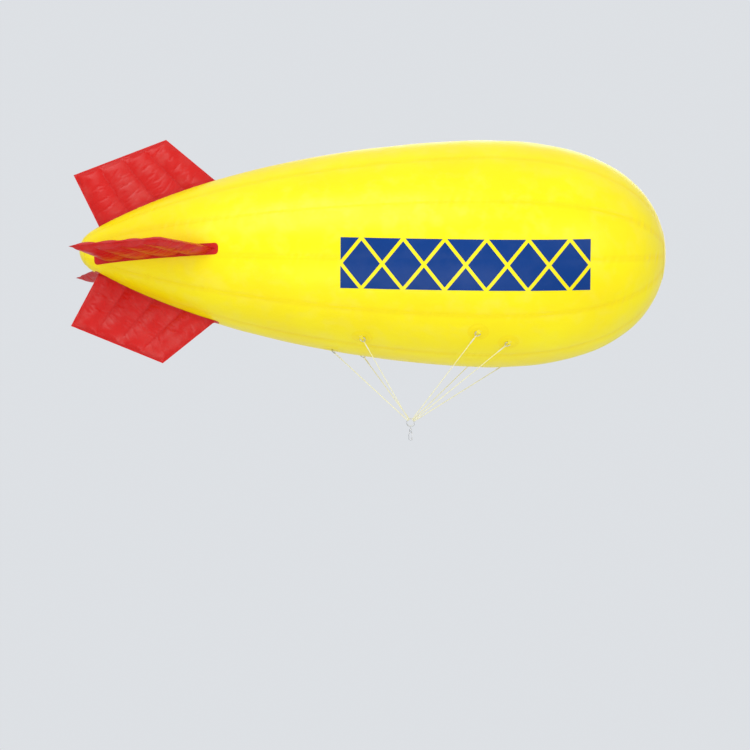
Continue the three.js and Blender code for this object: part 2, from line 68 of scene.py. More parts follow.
# Gore film: how far it crowns between its seams, and how it puckers along them
CROWN_RISE = 2 * MM
SEAM_SINK = 9 * MM
PUCKER_HEIGHT = 1.5 * MM
PUCKER_REACH = 45 * MM
PUCKER_SLANT = 0.35
END_PUCKER = 0.6
TAIL_PUCKER_REACH = 0.5
NOSE_PUCKER_REACH = 0.35
SLACK_HEIGHT = 1.6 * MM
WELD_HALF_WIDTH = 12.5 * MM

# Columns of points beside a seam, each at a distance from it, but at most at a share of the half gore,
# and then those in the gore's middle, as shares of what is left
COLUMNS_AT_SEAM = [
    (0, 0),
    (WELD_HALF_WIDTH, 0.16),
    (28 * MM, 0.30),
    (50 * MM, 0.43),
    (82 * MM, 0.55),
    (125 * MM, 0.67),
]
COLUMNS_IN_MIDDLE = [0.36, 0.70, 1.0]

WELD_THICKNESS = 1.0 * MM
NOSE_DISC_RADIUS = 0.260
TAIL_DISC_RADIUS = 0.150
DISC_THICKNESS = 1.8 * MM

random = np.random.default_rng(20)


# Selecting, editing and finishing


def deselect():
    bpy.ops.object.select_all(action="DESELECT")


def pick(piece):
    """Selects one object alone and makes it the active one."""
    deselect()
    piece.select_set(True)
    bpy.context.view_layer.objects.active = piece


def edit(piece, mode="VERT"):
    """Opens a piece for editing, with nothing selected in it."""
    pick(piece)
    bpy.ops.object.mode_set(mode="EDIT")
    bpy.ops.mesh.select_mode(type=mode)
    bpy.ops.mesh.select_all(action="DESELECT")


def edit_all(piece):
    """Opens a piece for editing, with all of it selected."""
    edit(piece)
    bpy.ops.mesh.select_all(action="SELECT")


def close():
    bpy.ops.object.mode_set(mode="OBJECT")


def close_welded():
    """Joins the points that lie together in the open piece, turns its faces outwards and closes it."""
    bpy.ops.mesh.select_all(action="SELECT")
    bpy.ops.mesh.remove_doubles(threshold=WELD_DISTANCE)
    bpy.ops.mesh.normals_make_consistent(inside=False)
    close()


def points_of(piece):
    at = np.zeros(len(piece.data.vertices) * 3)
    piece.data.vertices.foreach_get("co", at)
    return at.reshape(-1, 3)


def move_points(piece, at):
    piece.data.vertices.foreach_set("co", np.asarray(at, dtype=np.float32).ravel())
    piece.data.update()


def apply_all(piece):
    """Applies a piece's modifiers, in their order."""
    pick(piece)
    for modifier in list(piece.modifiers):
        bpy.ops.object.modifier_apply(modifier=modifier.name)


def thicken(piece, thickness):
    """Gives a sheet its thickness, on its outer side."""
    modifier = piece.modifiers.new("thickness", "SOLIDIFY")
    modifier.thickness = thickness
    modifier.offset = 1
    modifier.use_even_offset = False
    apply_all(piece)


def moved_to(piece, matrix):
    """Puts a finished piece in its place, with the place in its mesh."""
    piece.matrix_world = matrix
    pick(piece)
    bpy.ops.object.transform_apply(location=True, rotation=True, scale=True)
    return piece


def copied(piece, matrix):
    """A copy of a piece with its own mesh, put in its place."""
    pick(piece)
    bpy.ops.object.duplicate()
    return moved_to(bpy.context.object, matrix)


def joined(pieces):
    """Joins some pieces into the first of them."""
    deselect()
    for piece in pieces:
        piece.select_set(True)
    bpy.context.view_layer.objects.active = pieces[0]
    bpy.ops.object.join()
    return pieces[0]


def remove_all(*patterns):
    """Removes the pieces that were only there to be copied."""
    for pattern in patterns:
        bpy.data.objects.remove(pattern)


def smooth(piece, degrees=40):
    pick(piece)
    bpy.ops.object.shade_smooth_by_angle(angle=math.radians(degrees))


def finish_piece(piece, name, material, body, slot, *nodes):
    """Names a piece, gives it its finish and hangs it on its body."""
    piece.name = name
    piece.data.name = name
    piece.data.materials.clear()
    piece.data.materials.append(material)
    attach(piece, body)
    if nodes:
        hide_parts(*nodes)
    return piece


# Finishes
HATCH_PITCH = 4 * MM
FILM_RELIEF = 0.8 * MM


def feed(tree, node, inputs):
    """Fills a node's inputs, each with a value or with the socket of another node."""
    for name, value in inputs.items():
        if isinstance(value, bpy.types.NodeSocket):
            tree.links.new(value, node.inputs[name])
        else:
            node.inputs[name].default_value = value


def add_node(tree, kind, inputs=None, **settings):
    """Adds a node with its settings and what feeds its inputs."""
    node = tree.nodes.new("ShaderNode" + kind)
    for key, value in settings.items():
        setattr(node, key, value)
    feed(tree, node, inputs or {})
    return node


def noise(tree, where, scale, detail):
    return add_node(tree, "TexNoise", {"Vector": where, "Scale": scale, "Detail": detail}).outputs


def new_group(name, inputs, outputs):
    """A shader node group with named sockets. Each input is a name, a kind and a value."""
    group = bpy.data.node_groups.new(name, "ShaderNodeTree")
    for title, kind, value in inputs:
        socket = group.interface.new_socket(title, in_out="INPUT", socket_type="NodeSocket" + kind)
        if value is not None:
            socket.default_value = value
    for title, kind in outputs:
        group.interface.new_socket(title, in_out="OUTPUT", socket_type="NodeSocket" + kind)
    given = group.nodes.new("NodeGroupInput")
    result = group.nodes.new("NodeGroupOutput")
    return group, given.outputs, result


def math_node(tree, operation, first, second=0.0, third=0.0):
    inputs = {0: first, 1: second, 2: third}
    return add_node(tree, "Math", inputs, operation=operation).outputs[0]


def mix_colours(tree, share, first, second):
    """Mixes two colours. The node's sockets 6 and 7 are its colours, and 2 is its result."""
    return add_node(tree, "Mix", {0: share, 6: first, 7: second}, data_type="RGBA").outputs[2]


def remap(tree, value, low, high, from_low=0.0, from_high=1.0):
    inputs = {"Value": value, "From Min": from_low, "From Max": from_high, "To Min": low, "To Max": high}
    return add_node(tree, "MapRange", inputs).outputs[0]


def film_group():
    """Soft creases, cloudy tone and a fine skin texture, as on calendered vinyl film."""
    group, given, result = new_group(
        "film_surface",
        [("Vector", "Vector", None), ("Crease Scale", "Float", 5.0), ("Skin Scale", "Float", 260.0)],
        [("Height", "Float"), ("Tone", "Float"), ("Gloss", "Float")],
    )
    where = given["Vector"]
    bend = noise(group, where, 2.3, 2.0)["Color"]
    swept = add_node(
        group, "VectorMath", {0: bend, 1: (0.18, 0.18, 0.18), 2: where}, operation="MULTIPLY_ADD"
    )
    crease_inputs = {"Vector": swept.outputs[0], "Scale": given["Crease Scale"]}
    creases = add_node(group, "TexVoronoi", crease_inputs, feature="DISTANCE_TO_EDGE")
    fold = remap(group, creases.outputs["Distance"], 1.0, 0.0, 0.0, 0.05)
    patchy = noise(group, where, 1.4, 3.0)["Fac"]
    fold_here = math_node(group, "MULTIPLY", fold, remap(group, patchy, 0.0, 1.0, 0.45, 0.7))
    skin = noise(group, where, given["Skin Scale"], 2.0)["Fac"]
    slack = noise(group, where, 7.0, 2.5)["Fac"]
    height = math_node(group, "MULTIPLY_ADD", slack, 1.6, math_node(group, "MULTIPLY", fold_here, 0.35))
    height = math_node(group, "MULTIPLY_ADD", skin, 0.03, height)
    gloss = math_node(group, "MULTIPLY_ADD", skin, 0.4, math_node(group, "MULTIPLY", slack, 0.6))
    feed(group, result, {"Height": height, "Tone": patchy, "Gloss": gloss})
    return group


def dust_group():
    """Where a thin film of dust and handling marks lies."""
    group, given, result = new_group(
        "dust_marks",
        [("Vector", "Vector", None), ("Scale", "Float", 6.0), ("Amount", "Float", 0.1)],
        [("Mask", "Float")],
    )
    cover = remap(group, noise(group, given["Vector"], given["Scale"], 5.0)["Fac"], 0.0, 1.0, 0.48, 0.78)
    group.links.new(math_node(group, "MULTIPLY", cover, given["Amount"]), result.inputs["Mask"])
    return group


FILM = film_group()
DUST = dust_group()


def place_group(tree, group, **inputs):
    return add_node(tree, "Group", inputs, node_tree=group).outputs


def new_material(name, **shader):
    """A material with a Principled shader, and where its points are."""
    material = bpy.data.materials.new(name)
    material.use_nodes = True
    tree = material.node_tree
    surface = tree.nodes["Principled BSDF"]
    for key, value in shader.items():
        surface.inputs[key.replace("_", " ")].default_value = value
    where = tree.nodes.new("ShaderNodeTexCoord")
    return material, tree, surface, where.outputs


def raise_surface(tree, surface, height, distance):
    bump = add_node(tree, "Bump", {"Height": height, "Distance": distance, "Strength": 1.0})
    tree.links.new(bump.outputs["Normal"], surface.inputs["Normal"])


def vinyl(name, colour, deep, painted_seam_shade=0.0, dusty=0.05, shine=0.27):
    """Calendered film: its own colour, cloudy, with faint dust, and where asked a painted shade that deepens it
    towards the seams.
    """
    material, tree, surface, where = new_material(name, Specular_IOR_Level=shine)
    film = place_group(tree, FILM, Vector=where["Object"])
    dust = place_group(tree, DUST, Vector=where["Object"], Amount=dusty)
    body = mix_colours(tree, remap(tree, film["Tone"], 0.0, 0.5, 0.3, 0.7), colour, deep)
    # Painted shade: within 50 mm of a seam the film is mixed towards its deep colour, as if shaded in the
    # seam's groove.
    if painted_seam_shade:
        across = add_node(tree, "SeparateXYZ", {"Vector": where["UV"]}).outputs["Y"]
        near = remap(tree, across, painted_seam_shade, 0.0, 0.0, 0.05)
        body = mix_colours(tree, near, body, deep)
    body = mix_colours(tree, dust["Mask"], body, (0.72, 0.70, 0.62, 1))
    feed(tree, surface, {"Base Color": body, "Roughness": remap(tree, film["Gloss"], 0.28, 0.42, 0.3, 0.7)})
    raise_surface(tree, surface, film["Height"], FILM_RELIEF)
    return material


def crossed_waves(tree, flat_map, turns):
    """A sine wave along a flat map, times one across it."""
    flat = add_node(tree, "SeparateXYZ", {"Vector": flat_map}).outputs
    along = math_node(tree, "SINE", math_node(tree, "MULTIPLY", flat["X"], turns))
    across = math_node(tree, "SINE", math_node(tree, "MULTIPLY", flat["Y"], turns))
    return math_node(tree, "MULTIPLY", along, across)


def weld_film(name, colour, deep):
    """A heat-welded band: film of double thickness with the welder's fine hatch."""
    material, tree, surface, where = new_material(name, Specular_IOR_Level=0.27)
    film = place_group(tree, FILM, Vector=where["Object"])
    hatch = crossed_waves(tree, where["UV"], FULL_TURN / HATCH_PITCH)
    body = mix_colours(tree, remap(tree, film["Tone"], 0.2, 0.9, 0.3, 0.7), colour, deep)
    feed(tree, surface, {"Base Color": body, "Roughness": remap(tree, film["Gloss"], 0.30, 0.46, 0.3, 0.7)})
    raise_surface(tree, surface, math_node(tree, "MULTIPLY_ADD", hatch, 0.12, film["Height"]), FILM_RELIEF)
    return material


YELLOW = (1.0, 0.85, 0.0, 1)
DEEP_YELLOW = (0.95, 0.72, 0.0, 1)
RED = (0.62, 0.008, 0.005, 1)
DEEP_RED = (0.52, 0.006, 0.004, 1)
BLUE = (0.0015, 0.042, 0.22, 1)
DEEP_BLUE = (0.0012, 0.034, 0.18, 1)

hull_vinyl = vinyl("yellow_vinyl", YELLOW, DEEP_YELLOW, painted_seam_shade=0.6)
weld_vinyl = weld_film("yellow_weld", YELLOW, DEEP_YELLOW)
fin_vinyl = vinyl("red_vinyl", RED, DEEP_RED)
fin_weld_vinyl = weld_film("red_weld", RED, DEEP_RED)
print_film = vinyl("blue_print_film", BLUE, DEEP_BLUE, dusty=0.01, shine=0.15)


# Camera, light and floor

CAMERA_DISTANCE = 61.0
CAMERA_ELEVATION = math.radians(11.0)
CAMERA_ROLL = math.radians(0.45)
FRAME_WIDTH = 7.653
VIEW_CENTRE = (-0.464, -1.252)
SENSOR_WIDTH = 36.0
CAMERA_HEIGHT = 0.05
CAMERA_REACH = 1000
FLOOR_RADIUS = 83
FLOOR_SIDES = 96
SKY_COLOUR = (0.93, 0.96, 1.0, 1)
SKY_STRENGTH = 0.78

# Each lamp's name, place, size and power
LAMPS = [
    ("key", (-7, -16, 11), 12, 1350),
    ("fill", (11, -14, 1), 11, 520),
    ("low_fill", (-2, -14, -11), 12, 900),
    ("back", (3, 15, 7), 11, 450),
]


def camera_place():
    """The camera's place and its target, which lies on the hull's middle plane."""
    ahead = Vector((0, math.cos(CAMERA_ELEVATION), math.sin(CAMERA_ELEVATION)))
    target = Vector((VIEW_CENTRE[0], 0, VIEW_CENTRE[1] / math.cos(CAMERA_ELEVATION)))
    return target - CAMERA_DISTANCE * ahead, target


def make_camera():
    """A long lens at floor level that looks up at the balloon's right side."""
    eye, target = camera_place()
    camera = bpy.data.objects.new("camera", bpy.data.cameras.new("camera"))
    bpy.context.scene.collection.objects.link(camera)
    camera.data.sensor_width = SENSOR_WIDTH
    camera.data.lens = SENSOR_WIDTH * CAMERA_DISTANCE / FRAME_WIDTH
    camera.data.clip_end = CAMERA_REACH
    look = (target - eye).to_track_quat("-Z", "Y") @ Matrix.Rotation(CAMERA_ROLL, 3, "Z").to_quaternion()
    camera.location = eye
    camera.rotation_euler = look.to_euler()
    bpy.context.scene.camera = camera


def soft_lamp(name, place, size, power):
    """A round soft lamp that is aimed at the origin."""
    lamp = bpy.data.objects.new(name, bpy.data.lights.new(name, "AREA"))
    bpy.context.scene.collection.objects.link(lamp)
    lamp.data.shape = "DISK"
    lamp.data.size = size
    lamp.data.energy = power
    lamp.visible_camera = False
    lamp.location = place
    lamp.rotation_euler = (-Vector(place)).to_track_quat("-Z", "Y").to_euler()


def make_room():
    eye, _ = camera_place()
    deselect()
    bpy.ops.mesh.primitive_circle_add(
        vertices=FLOOR_SIDES, radius=FLOOR_RADIUS, fill_type="NGON", location=(0, 0, eye.z - CAMERA_HEIGHT)
    )
    floor = bpy.context.object
    floor.name = "floor"
    pick(floor)
    bpy.ops.object.transform_apply(location=True)
    material, tree, surface, where = new_material("pale_floor", Roughness=0.85)
    cloud = noise(tree, where["Object"], 0.08, 4.0)["Fac"]
    tone = mix_colours(tree, cloud, (0.74, 0.75, 0.77, 1), (0.80, 0.81, 0.82, 1))
    tree.links.new(tone, surface.inputs["Base Color"])
    floor.data.materials.append(material)
    world = bpy.data.worlds.new("room")
    world.use_nodes = True
    backdrop = world.node_tree.nodes["Background"]
    feed(world.node_tree, backdrop, {"Color": SKY_COLOUR, "Strength": SKY_STRENGTH})
    bpy.context.scene.world = world
    for name, place, size, power in LAMPS:
        soft_lamp(name, place, size, power)


# Hull


def dense_outline():
    """The hull's outline as many close points: distance from the origin and radius."""
    stretch = np.linspace(0, 1, 4001)[:, None]
    parts = []
    for (start, _, leave), (end, arrive, _) in zip(HULL_OUTLINE, HULL_OUTLINE[1:]):
        start, leave, arrive, end = (np.array(p, float) for p in (start, leave, arrive, end))
        back = 1 - stretch
        parts.append(
            back**3 * start
            + 3 * back**2 * stretch * leave
            + 3 * back * stretch**2 * arrive
            + stretch**3 * end
        )
    return np.concatenate([parts[0], parts[1][1:], parts[2][1:]])


outline = dense_outline()
outline_length = np.concatenate(
    [[0], np.cumsum(np.hypot(*np.diff(outline, axis=0).T))]
)


def outline_wire():
    """The hull's outline as an evenly stepped wire over its axis."""
    deselect()
    bpy.ops.curve.primitive_bezier_curve_add(location=(0, 0, 0))
    curve = bpy.context.object
    curve.data.splines[0].bezier_points.add(len(HULL_OUTLINE) - 2)
    for knot, (at, before, after) in zip(curve.data.splines[0].bezier_points, HULL_OUTLINE):
        knot.handle_left_type = knot.handle_right_type = "FREE"
        knot.co = (at[0], 0, at[1])
        knot.handle_left = (before[0], 0, before[1])
        knot.handle_right = (after[0], 0, after[1])
    curve.data.resolution_u = ROWS_PER_STRETCH
    bpy.ops.object.convert(target="MESH")
    wire = bpy.context.object
    steps = np.linspace(0, outline_length[-1], len(wire.data.vertices))
    at = np.zeros((len(steps), 3))
    at[:, 0] = np.interp(steps, outline_length, outline[:, 0])
    at[:, 2] = np.interp(steps, outline_length, outline[:, 1])
    at[0, 2] = at[-1, 2] = 0
    move_points(wire, at)
    return wire


def outline_frame(x, radius):
    """For points on the bare hull: length along the outline, and outwards as (along X, radial)."""
    steps = np.linspace(0, outline_length[-1], 12001)
    xs = np.interp(steps, outline_length, outline[:, 0])
    rs = np.interp(steps, outline_length, outline[:, 1])
    from_tail = np.searchsorted(xs, np.clip(x, xs[0], xs[-1])).clip(1, len(xs) - 1)
    tail_part = (x < TAIL_TIP + 0.05) & (radius < 0.15)
    nose_part = x > NOSE_TIP - 0.05
    widest = int(np.argmax(rs))
    by_tail_radius = np.searchsorted(rs[:widest], radius).clip(1, widest - 1)
    by_nose_radius = len(rs) - np.searchsorted(rs[::-1][: len(rs) - widest], radius)
    row = np.where(tail_part, by_tail_radius, from_tail)
    row = np.where(nose_part, by_nose_radius.clip(1, len(rs) - 1), row)
    dx = np.gradient(xs, steps)
    dr = np.gradient(rs, steps)
    return steps[row], -dr[row], dx[row]


def waves(count, shortest, longest):
    """A random ripple along a seam, of a few wave lengths, as a function of length along it."""
    lengths = random.uniform(shortest, longest, count)
    phases = random.uniform(0, FULL_TURN, count)

    def ripple(along):
        return sum(
            np.sin(FULL_TURN * along / length + phase)
            for length, phase in zip(lengths, phases)
        ) / math.sqrt(count)

    return ripple


def shape_gores(hull):
    """Moves the turned hull's points to gores that crown between their seams and pucker along them."""
    at = points_of(hull)
    radius = np.hypot(at[:, 1], at[:, 2])
    angle = np.arctan2(at[:, 1], -at[:, 2])
    along, outward_x, outward_r = outline_frame(at[:, 0], radius)
    column = np.rint((angle - FIRST_SEAM) / GORE_ANGLE * COLUMNS_PER_GORE).astype(int)
    column %= GORES * COLUMNS_PER_GORE
    gore = column // COLUMNS_PER_GORE
    in_gore = column % COLUMNS_PER_GORE
    half = COLUMNS_PER_GORE // 2
    step = np.minimum(in_gore, COLUMNS_PER_GORE - in_gore)
    side = np.where(in_gore <= half, 1, -1)
    seam = np.where(in_gore <= half, gore, gore + 1) % GORES
    half_gore = radius * GORE_ANGLE / 2

    from_seam = np.zeros(len(at))
    for number, (distance, part) in enumerate(COLUMNS_AT_SEAM):
        last = np.minimum(distance, part * half_gore)
        from_seam = np.where(step == number, last, from_seam)
    for number, part in enumerate(COLUMNS_IN_MIDDLE, len(COLUMNS_AT_SEAM)):
        from_seam = np.where(step == number, last + part * (half_gore - last), from_seam)

    safe_radius = np.maximum(radius, WELD_DISTANCE)
    new_angle = FIRST_SEAM + seam * GORE_ANGLE + side * from_seam / safe_radius
    width = half_gore / WIDEST_HALF_GORE
    to_seam = 1 - from_seam / np.maximum(half_gore, WELD_DISTANCE)
    lift = CROWN_RISE * width - SEAM_SINK * width * to_seam**2

    # Puckers run out from each weld, slanted, stronger where the gores narrow
    reach = np.minimum(PUCKER_REACH, 0.4 * half_gore) + WELD_DISTANCE
    fade = np.exp(-from_seam / reach)
    at_tail = np.exp(-(at[:, 0] - TAIL_TIP) / TAIL_PUCKER_REACH)
    at_nose = np.exp(-(NOSE_TIP - at[:, 0]) / NOSE_PUCKER_REACH)
    ends = 1 + END_PUCKER * at_tail + END_PUCKER * at_nose
    for number in range(GORES):
        ripple = waves(6, 48 * MM, 130 * MM)
        strength = waves(3, 0.5, 1.6)
        mine = seam == number
        slanted = along + side * PUCKER_SLANT * from_seam
        amount = 0.65 + 0.35 * strength(along)
        lift += mine * PUCKER_HEIGHT * ends * fade * amount * ripple(slanted)
    slack = waves(4, 0.35, 1.1)
    turn = waves(3, 0.8, 1.7)
    lift += SLACK_HEIGHT * slack(along + 0.1 * turn(angle)) * turn(angle + along) * width

    lift *= np.clip(radius / 0.06, 0, 1)
    x = at[:, 0] + lift * outward_x
    r = radius + lift * outward_r
    r = np.where(radius < WELD_DISTANCE, 0, r)
    move_points(hull, np.stack([x, r * np.sin(new_angle), -r * np.cos(new_angle)], axis=1))
    return {"step": step, "radius": radius, "x": at[:, 0], "along": along, "from_seam": from_seam}


def corners_of(piece):
    """The number of the point at each corner of a piece's faces."""
    corners = np.zeros(len(piece.data.loops), int)
    piece.data.loops.foreach_get("vertex_index", corners)
    return corners


def faces_between(piece, chosen):
    """True for each face whose corners are all chosen."""
    first = np.zeros(len(piece.data.polygons), int)
    piece.data.polygons.foreach_get("loop_start", first)
    return np.logical_and.reduceat(np.asarray(chosen)[corners_of(piece)], first)


def sheet_from(piece, chosen):
    """A copy of some of a piece's faces, as a piece of its own."""
    wanted = faces_between(piece, chosen)
    edit(piece, "FACE")
    close()
    piece.data.polygons.foreach_set("select", wanted)
    bpy.ops.object.mode_set(mode="EDIT")
    bpy.ops.mesh.duplicate()
    bpy.ops.mesh.separate(type="SELECTED")
    close()
    copy = next(o for o in bpy.context.selected_objects if o != piece)
    pick(copy)
    return copy


def lift_points(piece, height):
    """Moves a sheet's points outwards along their normals."""
    normals = np.zeros(len(piece.data.vertices) * 3)
    piece.data.vertices.foreach_get("normal", normals)
    move_points(piece, points_of(piece) + height * normals.reshape(-1, 3))


def make_envelope():
    wire = outline_wire()
    edit_all(wire)
    bpy.ops.mesh.spin(
        steps=GORES * COLUMNS_PER_GORE, angle=FULL_TURN, center=(0, 0, 0), axis=(1, 0, 0)
    )
    close_welded()
    return wire


def map_film(piece, along, across):
    """Gives a piece a UV map in metres: along the hull's outline, and away from the nearest seam."""
    corners = corners_of(piece)
    flat = np.stack([along[corners], across[corners]], axis=1)
    piece.data.uv_layers.new(name="film")
    piece.data.uv_layers["film"].data.foreach_set("uv", flat.astype(np.float32).ravel())


envelope = make_envelope()
film = shape_gores(envelope)
map_film(envelope, film["along"], film["from_seam"])

# Weld bands on the seams, and the round pieces over their ends
in_weld = (film["step"] <= 1) & (film["radius"] > 0.9 * TAIL_DISC_RADIUS)
gore_welds = sheet_from(envelope, in_weld)
thicken(gore_welds, WELD_THICKNESS)
nose_disc = sheet_from(envelope, (film["radius"] < NOSE_DISC_RADIUS) & (film["x"] > 0))
lift_points(nose_disc, WELD_THICKNESS)
thicken(nose_disc, DISC_THICKNESS)
tail_disc = sheet_from(envelope, (film["radius"] < TAIL_DISC_RADIUS) & (film["x"] < 0))
lift_points(tail_disc, WELD_THICKNESS)
thicken(tail_disc, DISC_THICKNESS)

for piece in (envelope, gore_welds, nose_disc, tail_disc):
    smooth(piece)
finish_piece(envelope, "gas_envelope", hull_vinyl, "balloon", "hull_skin", "envelope")
finish_piece(gore_welds, "gore_welds", weld_vinyl, "balloon", "hull_skin")
finish_piece(nose_disc, "nose_disc", hull_vinyl, "balloon", "hull_skin", "nose_cap")
finish_piece(tail_disc, "tail_disc", hull_vinyl, "balloon", "hull_skin", "tail_cap")


# Tail fins: corners of the top one as distance from the origin and from the hull's axis
FIN_ROOT_TRAILING = (-3.275, 0.191)
FIN_TIP_TRAILING = (-3.576, 0.790)
FIN_ROOT_LEADING = (-2.036, 0.676)
FIN_TIP_LEADING = (-2.631, 1.171)
FIN_COLUMNS = 116
FIN_ROWS = 72
FIN_CELLS = 4
FIN_HALF_THICKNESS = 40 * MM
FIN_BAFFLE_SHARE = 0.74
BAFFLE_END = 0.84
FIN_EDGE_ROUNDING = 115 * MM
FIN_ROOT_ROUNDING = 40 * MM
FLANGE_WIDTH = 16 * MM
FLANGE_HALF = 1.0 * MM
FLANGE_RIPPLE = 2.2 * MM
BLOW_FRAMES = 22
SIDE_FIN_DROP = 0.125

# Fin film as cloth: it is held in one group of its points, and gas presses on the other
FILM_CLOTH = {
    "quality": 6,
    "mass": 0.1,
    "tension_stiffness": 30,
    "compression_stiffness": 30,
    "shear_stiffness": 15,
    "bending_stiffness": 0.1,
    "air_damping": 3,
    "shrink_min": -0.018,
    "vertex_group_mass": "held",
    "use_pressure": True,
    "uniform_pressure_force": 5.0,
    "vertex_group_pressure": "pressed",
}


def stepped(step, count, edge, low_flange):
    """Places from 0 to 1 in even steps, but two short steps across the flange at the far end, or at both."""
    low = edge if low_flange else 0.0
    first = 2 if low_flange else 0
    inner = low + (1 - edge - low) * (step - first) / (count - 2 - first)
    place = np.where(step > count - 2, 1 - edge * (count - step) / 2, inner)
    return np.where(step < first, edge * step / 2, place)


def rounded(distance, rounding):
    """How full a pillow is at a distance from its welded edge, from 0 to 1."""
    return np.sqrt(1 - (1 - np.clip(distance / rounding, 0, 1)) ** 2)


def fin_pattern():
    """A flat sheet on the top fin's outline, and where each of its points is between its edges."""
    deselect()
    bpy.ops.mesh.primitive_grid_add(x_subdivisions=FIN_COLUMNS, y_subdivisions=FIN_ROWS, size=1)
    sheet = bpy.context.object
    flat = points_of(sheet) + 0.5
    column = np.rint(flat[:, 0] * FIN_COLUMNS)
    row = np.rint(flat[:, 1] * FIN_ROWS)
    root_t, tip_t, root_l, tip_l = (
        np.array(p) for p in (FIN_ROOT_TRAILING, FIN_TIP_TRAILING, FIN_ROOT_LEADING, FIN_TIP_LEADING)
    )
    span_length = (np.linalg.norm(tip_t - root_t) + np.linalg.norm(tip_l - root_l)) / 2
    span = stepped(row, FIN_ROWS, FLANGE_WIDTH / span_length, False)
    root_chord = np.linalg.norm(root_l - root_t)
    tip_chord = np.linalg.norm(tip_l - tip_t)
    chord_length = root_chord + (tip_chord - root_chord) * span
    edge = FLANGE_WIDTH / chord_length
    chord = stepped(column, FIN_COLUMNS, edge, True)
    trailing = root_t + np.outer(span, tip_t - root_t)
    leading = root_l + np.outer(span, tip_l - root_l)
    place = trailing + chord[:, None] * (leading - trailing)

    inside = np.clip((chord - edge) / (1 - 2 * edge), 0, 1)
    to_side = np.minimum(inside, 1 - inside) * chord_length
    to_tip = np.maximum(1 - span - FLANGE_WIDTH / span_length, 0) * span_length
    full = rounded(to_side, FIN_EDGE_ROUNDING) * rounded(to_tip, FIN_EDGE_ROUNDING)
    full *= rounded(span * span_length, FIN_ROOT_ROUNDING)
    lobe = np.abs(np.sin(HALF_TURN * FIN_CELLS * inside))
    quilt = FIN_BAFFLE_SHARE + (1 - FIN_BAFFLE_SHARE) * lobe
    quilt = np.where(span > BAFFLE_END, 1 - (1 - quilt) * np.clip((1 - span) / (1 - BAFFLE_END), 0, 1), quilt)
    half = FLANGE_HALF + (FIN_HALF_THICKNESS - FLANGE_HALF) * full * quilt
    on_rim = (column == 0) | (column == FIN_COLUMNS) | (row == 0) | (row == FIN_ROWS)
    half = np.where(on_rim, 0, half)
    in_flange = (np.minimum(column, FIN_COLUMNS - column) <= 2) | (row >= FIN_ROWS - 2)
    per_cell = (FIN_COLUMNS - 4) // FIN_CELLS
    from_baffle = np.abs((column - 2 + per_cell / 2) % per_cell - per_cell / 2)
    on_baffle = (from_baffle < 0.5) & (span < BAFFLE_END) & ~in_flange
    ripple = waves(6, 60 * MM, 160 * MM)
    round_edge = np.where(to_tip > to_side, place[:, 1] + 3 * (chord > 0.5), place[:, 0] + 6)
    sway = FLANGE_RIPPLE * ripple(round_edge) * in_flange * (span > 0.2)
    to_weld = np.minimum(np.minimum(to_side, to_tip), from_baffle * chord_length / FIN_COLUMNS)
    marks = {
        "half": half,
        "sway": sway,
        "in_flange": in_flange,
        "on_baffle": on_baffle,
        "near_baffle": (from_baffle < 1.5) & (span < BAFFLE_END) & ~in_flange,
        "held": in_flange | on_baffle | (row <= 3),
        "along": np.where(to_tip > to_side, place[:, 1], place[:, 0]),
        "to_weld": to_weld,
    }
    return sheet, place, marks


def blow_up(piece, held, pressed):
    """Fills a pouch with gas: cloth under pressure, held along its welds, with a little slack in its film."""
    for title, chosen in (("held", held), ("pressed", pressed)):
        group = piece.vertex_groups.new(name=title)
        group.add([int(i) for i in np.flatnonzero(chosen)], 1.0, "REPLACE")
    cloth = piece.modifiers.new("gas", "CLOTH")
    for setting, value in FILM_CLOTH.items():
        setattr(cloth.settings, setting, value)
    cloth.settings.effector_weights.gravity = 0
    cloth.collision_settings.use_collision = False
    cloth.point_cache.frame_start = 1
    cloth.point_cache.frame_end = BLOW_FRAMES
    for number in range(1, BLOW_FRAMES + 1):
        bpy.context.scene.frame_set(number)
    apply_all(piece)
    piece.vertex_groups.clear()
    bpy.context.scene.frame_set(1)


def make_fin():
    """The top fin: two sheets welded round their rim, with baffles from root to tip that keep it flat."""
    sheet, place, marks = fin_pattern()
    one_side = np.stack([place[:, 0], marks["sway"] - marks["half"], place[:, 1]], axis=1)
    other_side = one_side + np.outer(2 * marks["half"], (0, 1, 0))
    move_points(sheet, one_side)
    count = len(one_side)
    edit_all(sheet)
    bpy.ops.mesh.duplicate()
    close()
    points = points_of(sheet)
    points[count:] = other_side
    move_points(sheet, points)
    number = sheet.data.attributes.new("point_number", "INT", "POINT")
    number.data.foreach_set("value", np.arange(2 * count) % count)
    edit_all(sheet)
    bpy.ops.mesh.remove_doubles(threshold=0.2 * MM)
    bpy.ops.mesh.normals_make_consistent(inside=False)
    close()
    order = np.zeros(len(sheet.data.vertices), int)
    sheet.data.attributes["point_number"].data.foreach_get("value", order)
    sheet.data.attributes.remove(sheet.data.attributes["point_number"])
    marks = {title: values[order] for title, values in marks.items()}
    blow_up(sheet, marks["held"], ~marks["in_flange"])
    map_film(sheet, marks["along"], marks["to_weld"])
    return sheet, marks


def set_part_material(piece, chosen, material):
    """Gives the faces between some points a second finish."""
    piece.data.materials.append(material)
    index = faces_between(piece, chosen).astype(np.int32)
    piece.data.polygons.foreach_set("material_index", index)


# Each fin's name, and what brings the top fin to its place
SIDE_DROP = Matrix.Translation((0, 0, -SIDE_FIN_DROP))
FINS = [
    ("top", Matrix.Identity(4)),
    ("bottom", Matrix.Rotation(HALF_TURN, 4, "X")),
    ("left", SIDE_DROP @ Matrix.Rotation(-QUARTER_TURN, 4, "X")),
    ("right", SIDE_DROP @ Matrix.Rotation(QUARTER_TURN, 4, "X")),
]

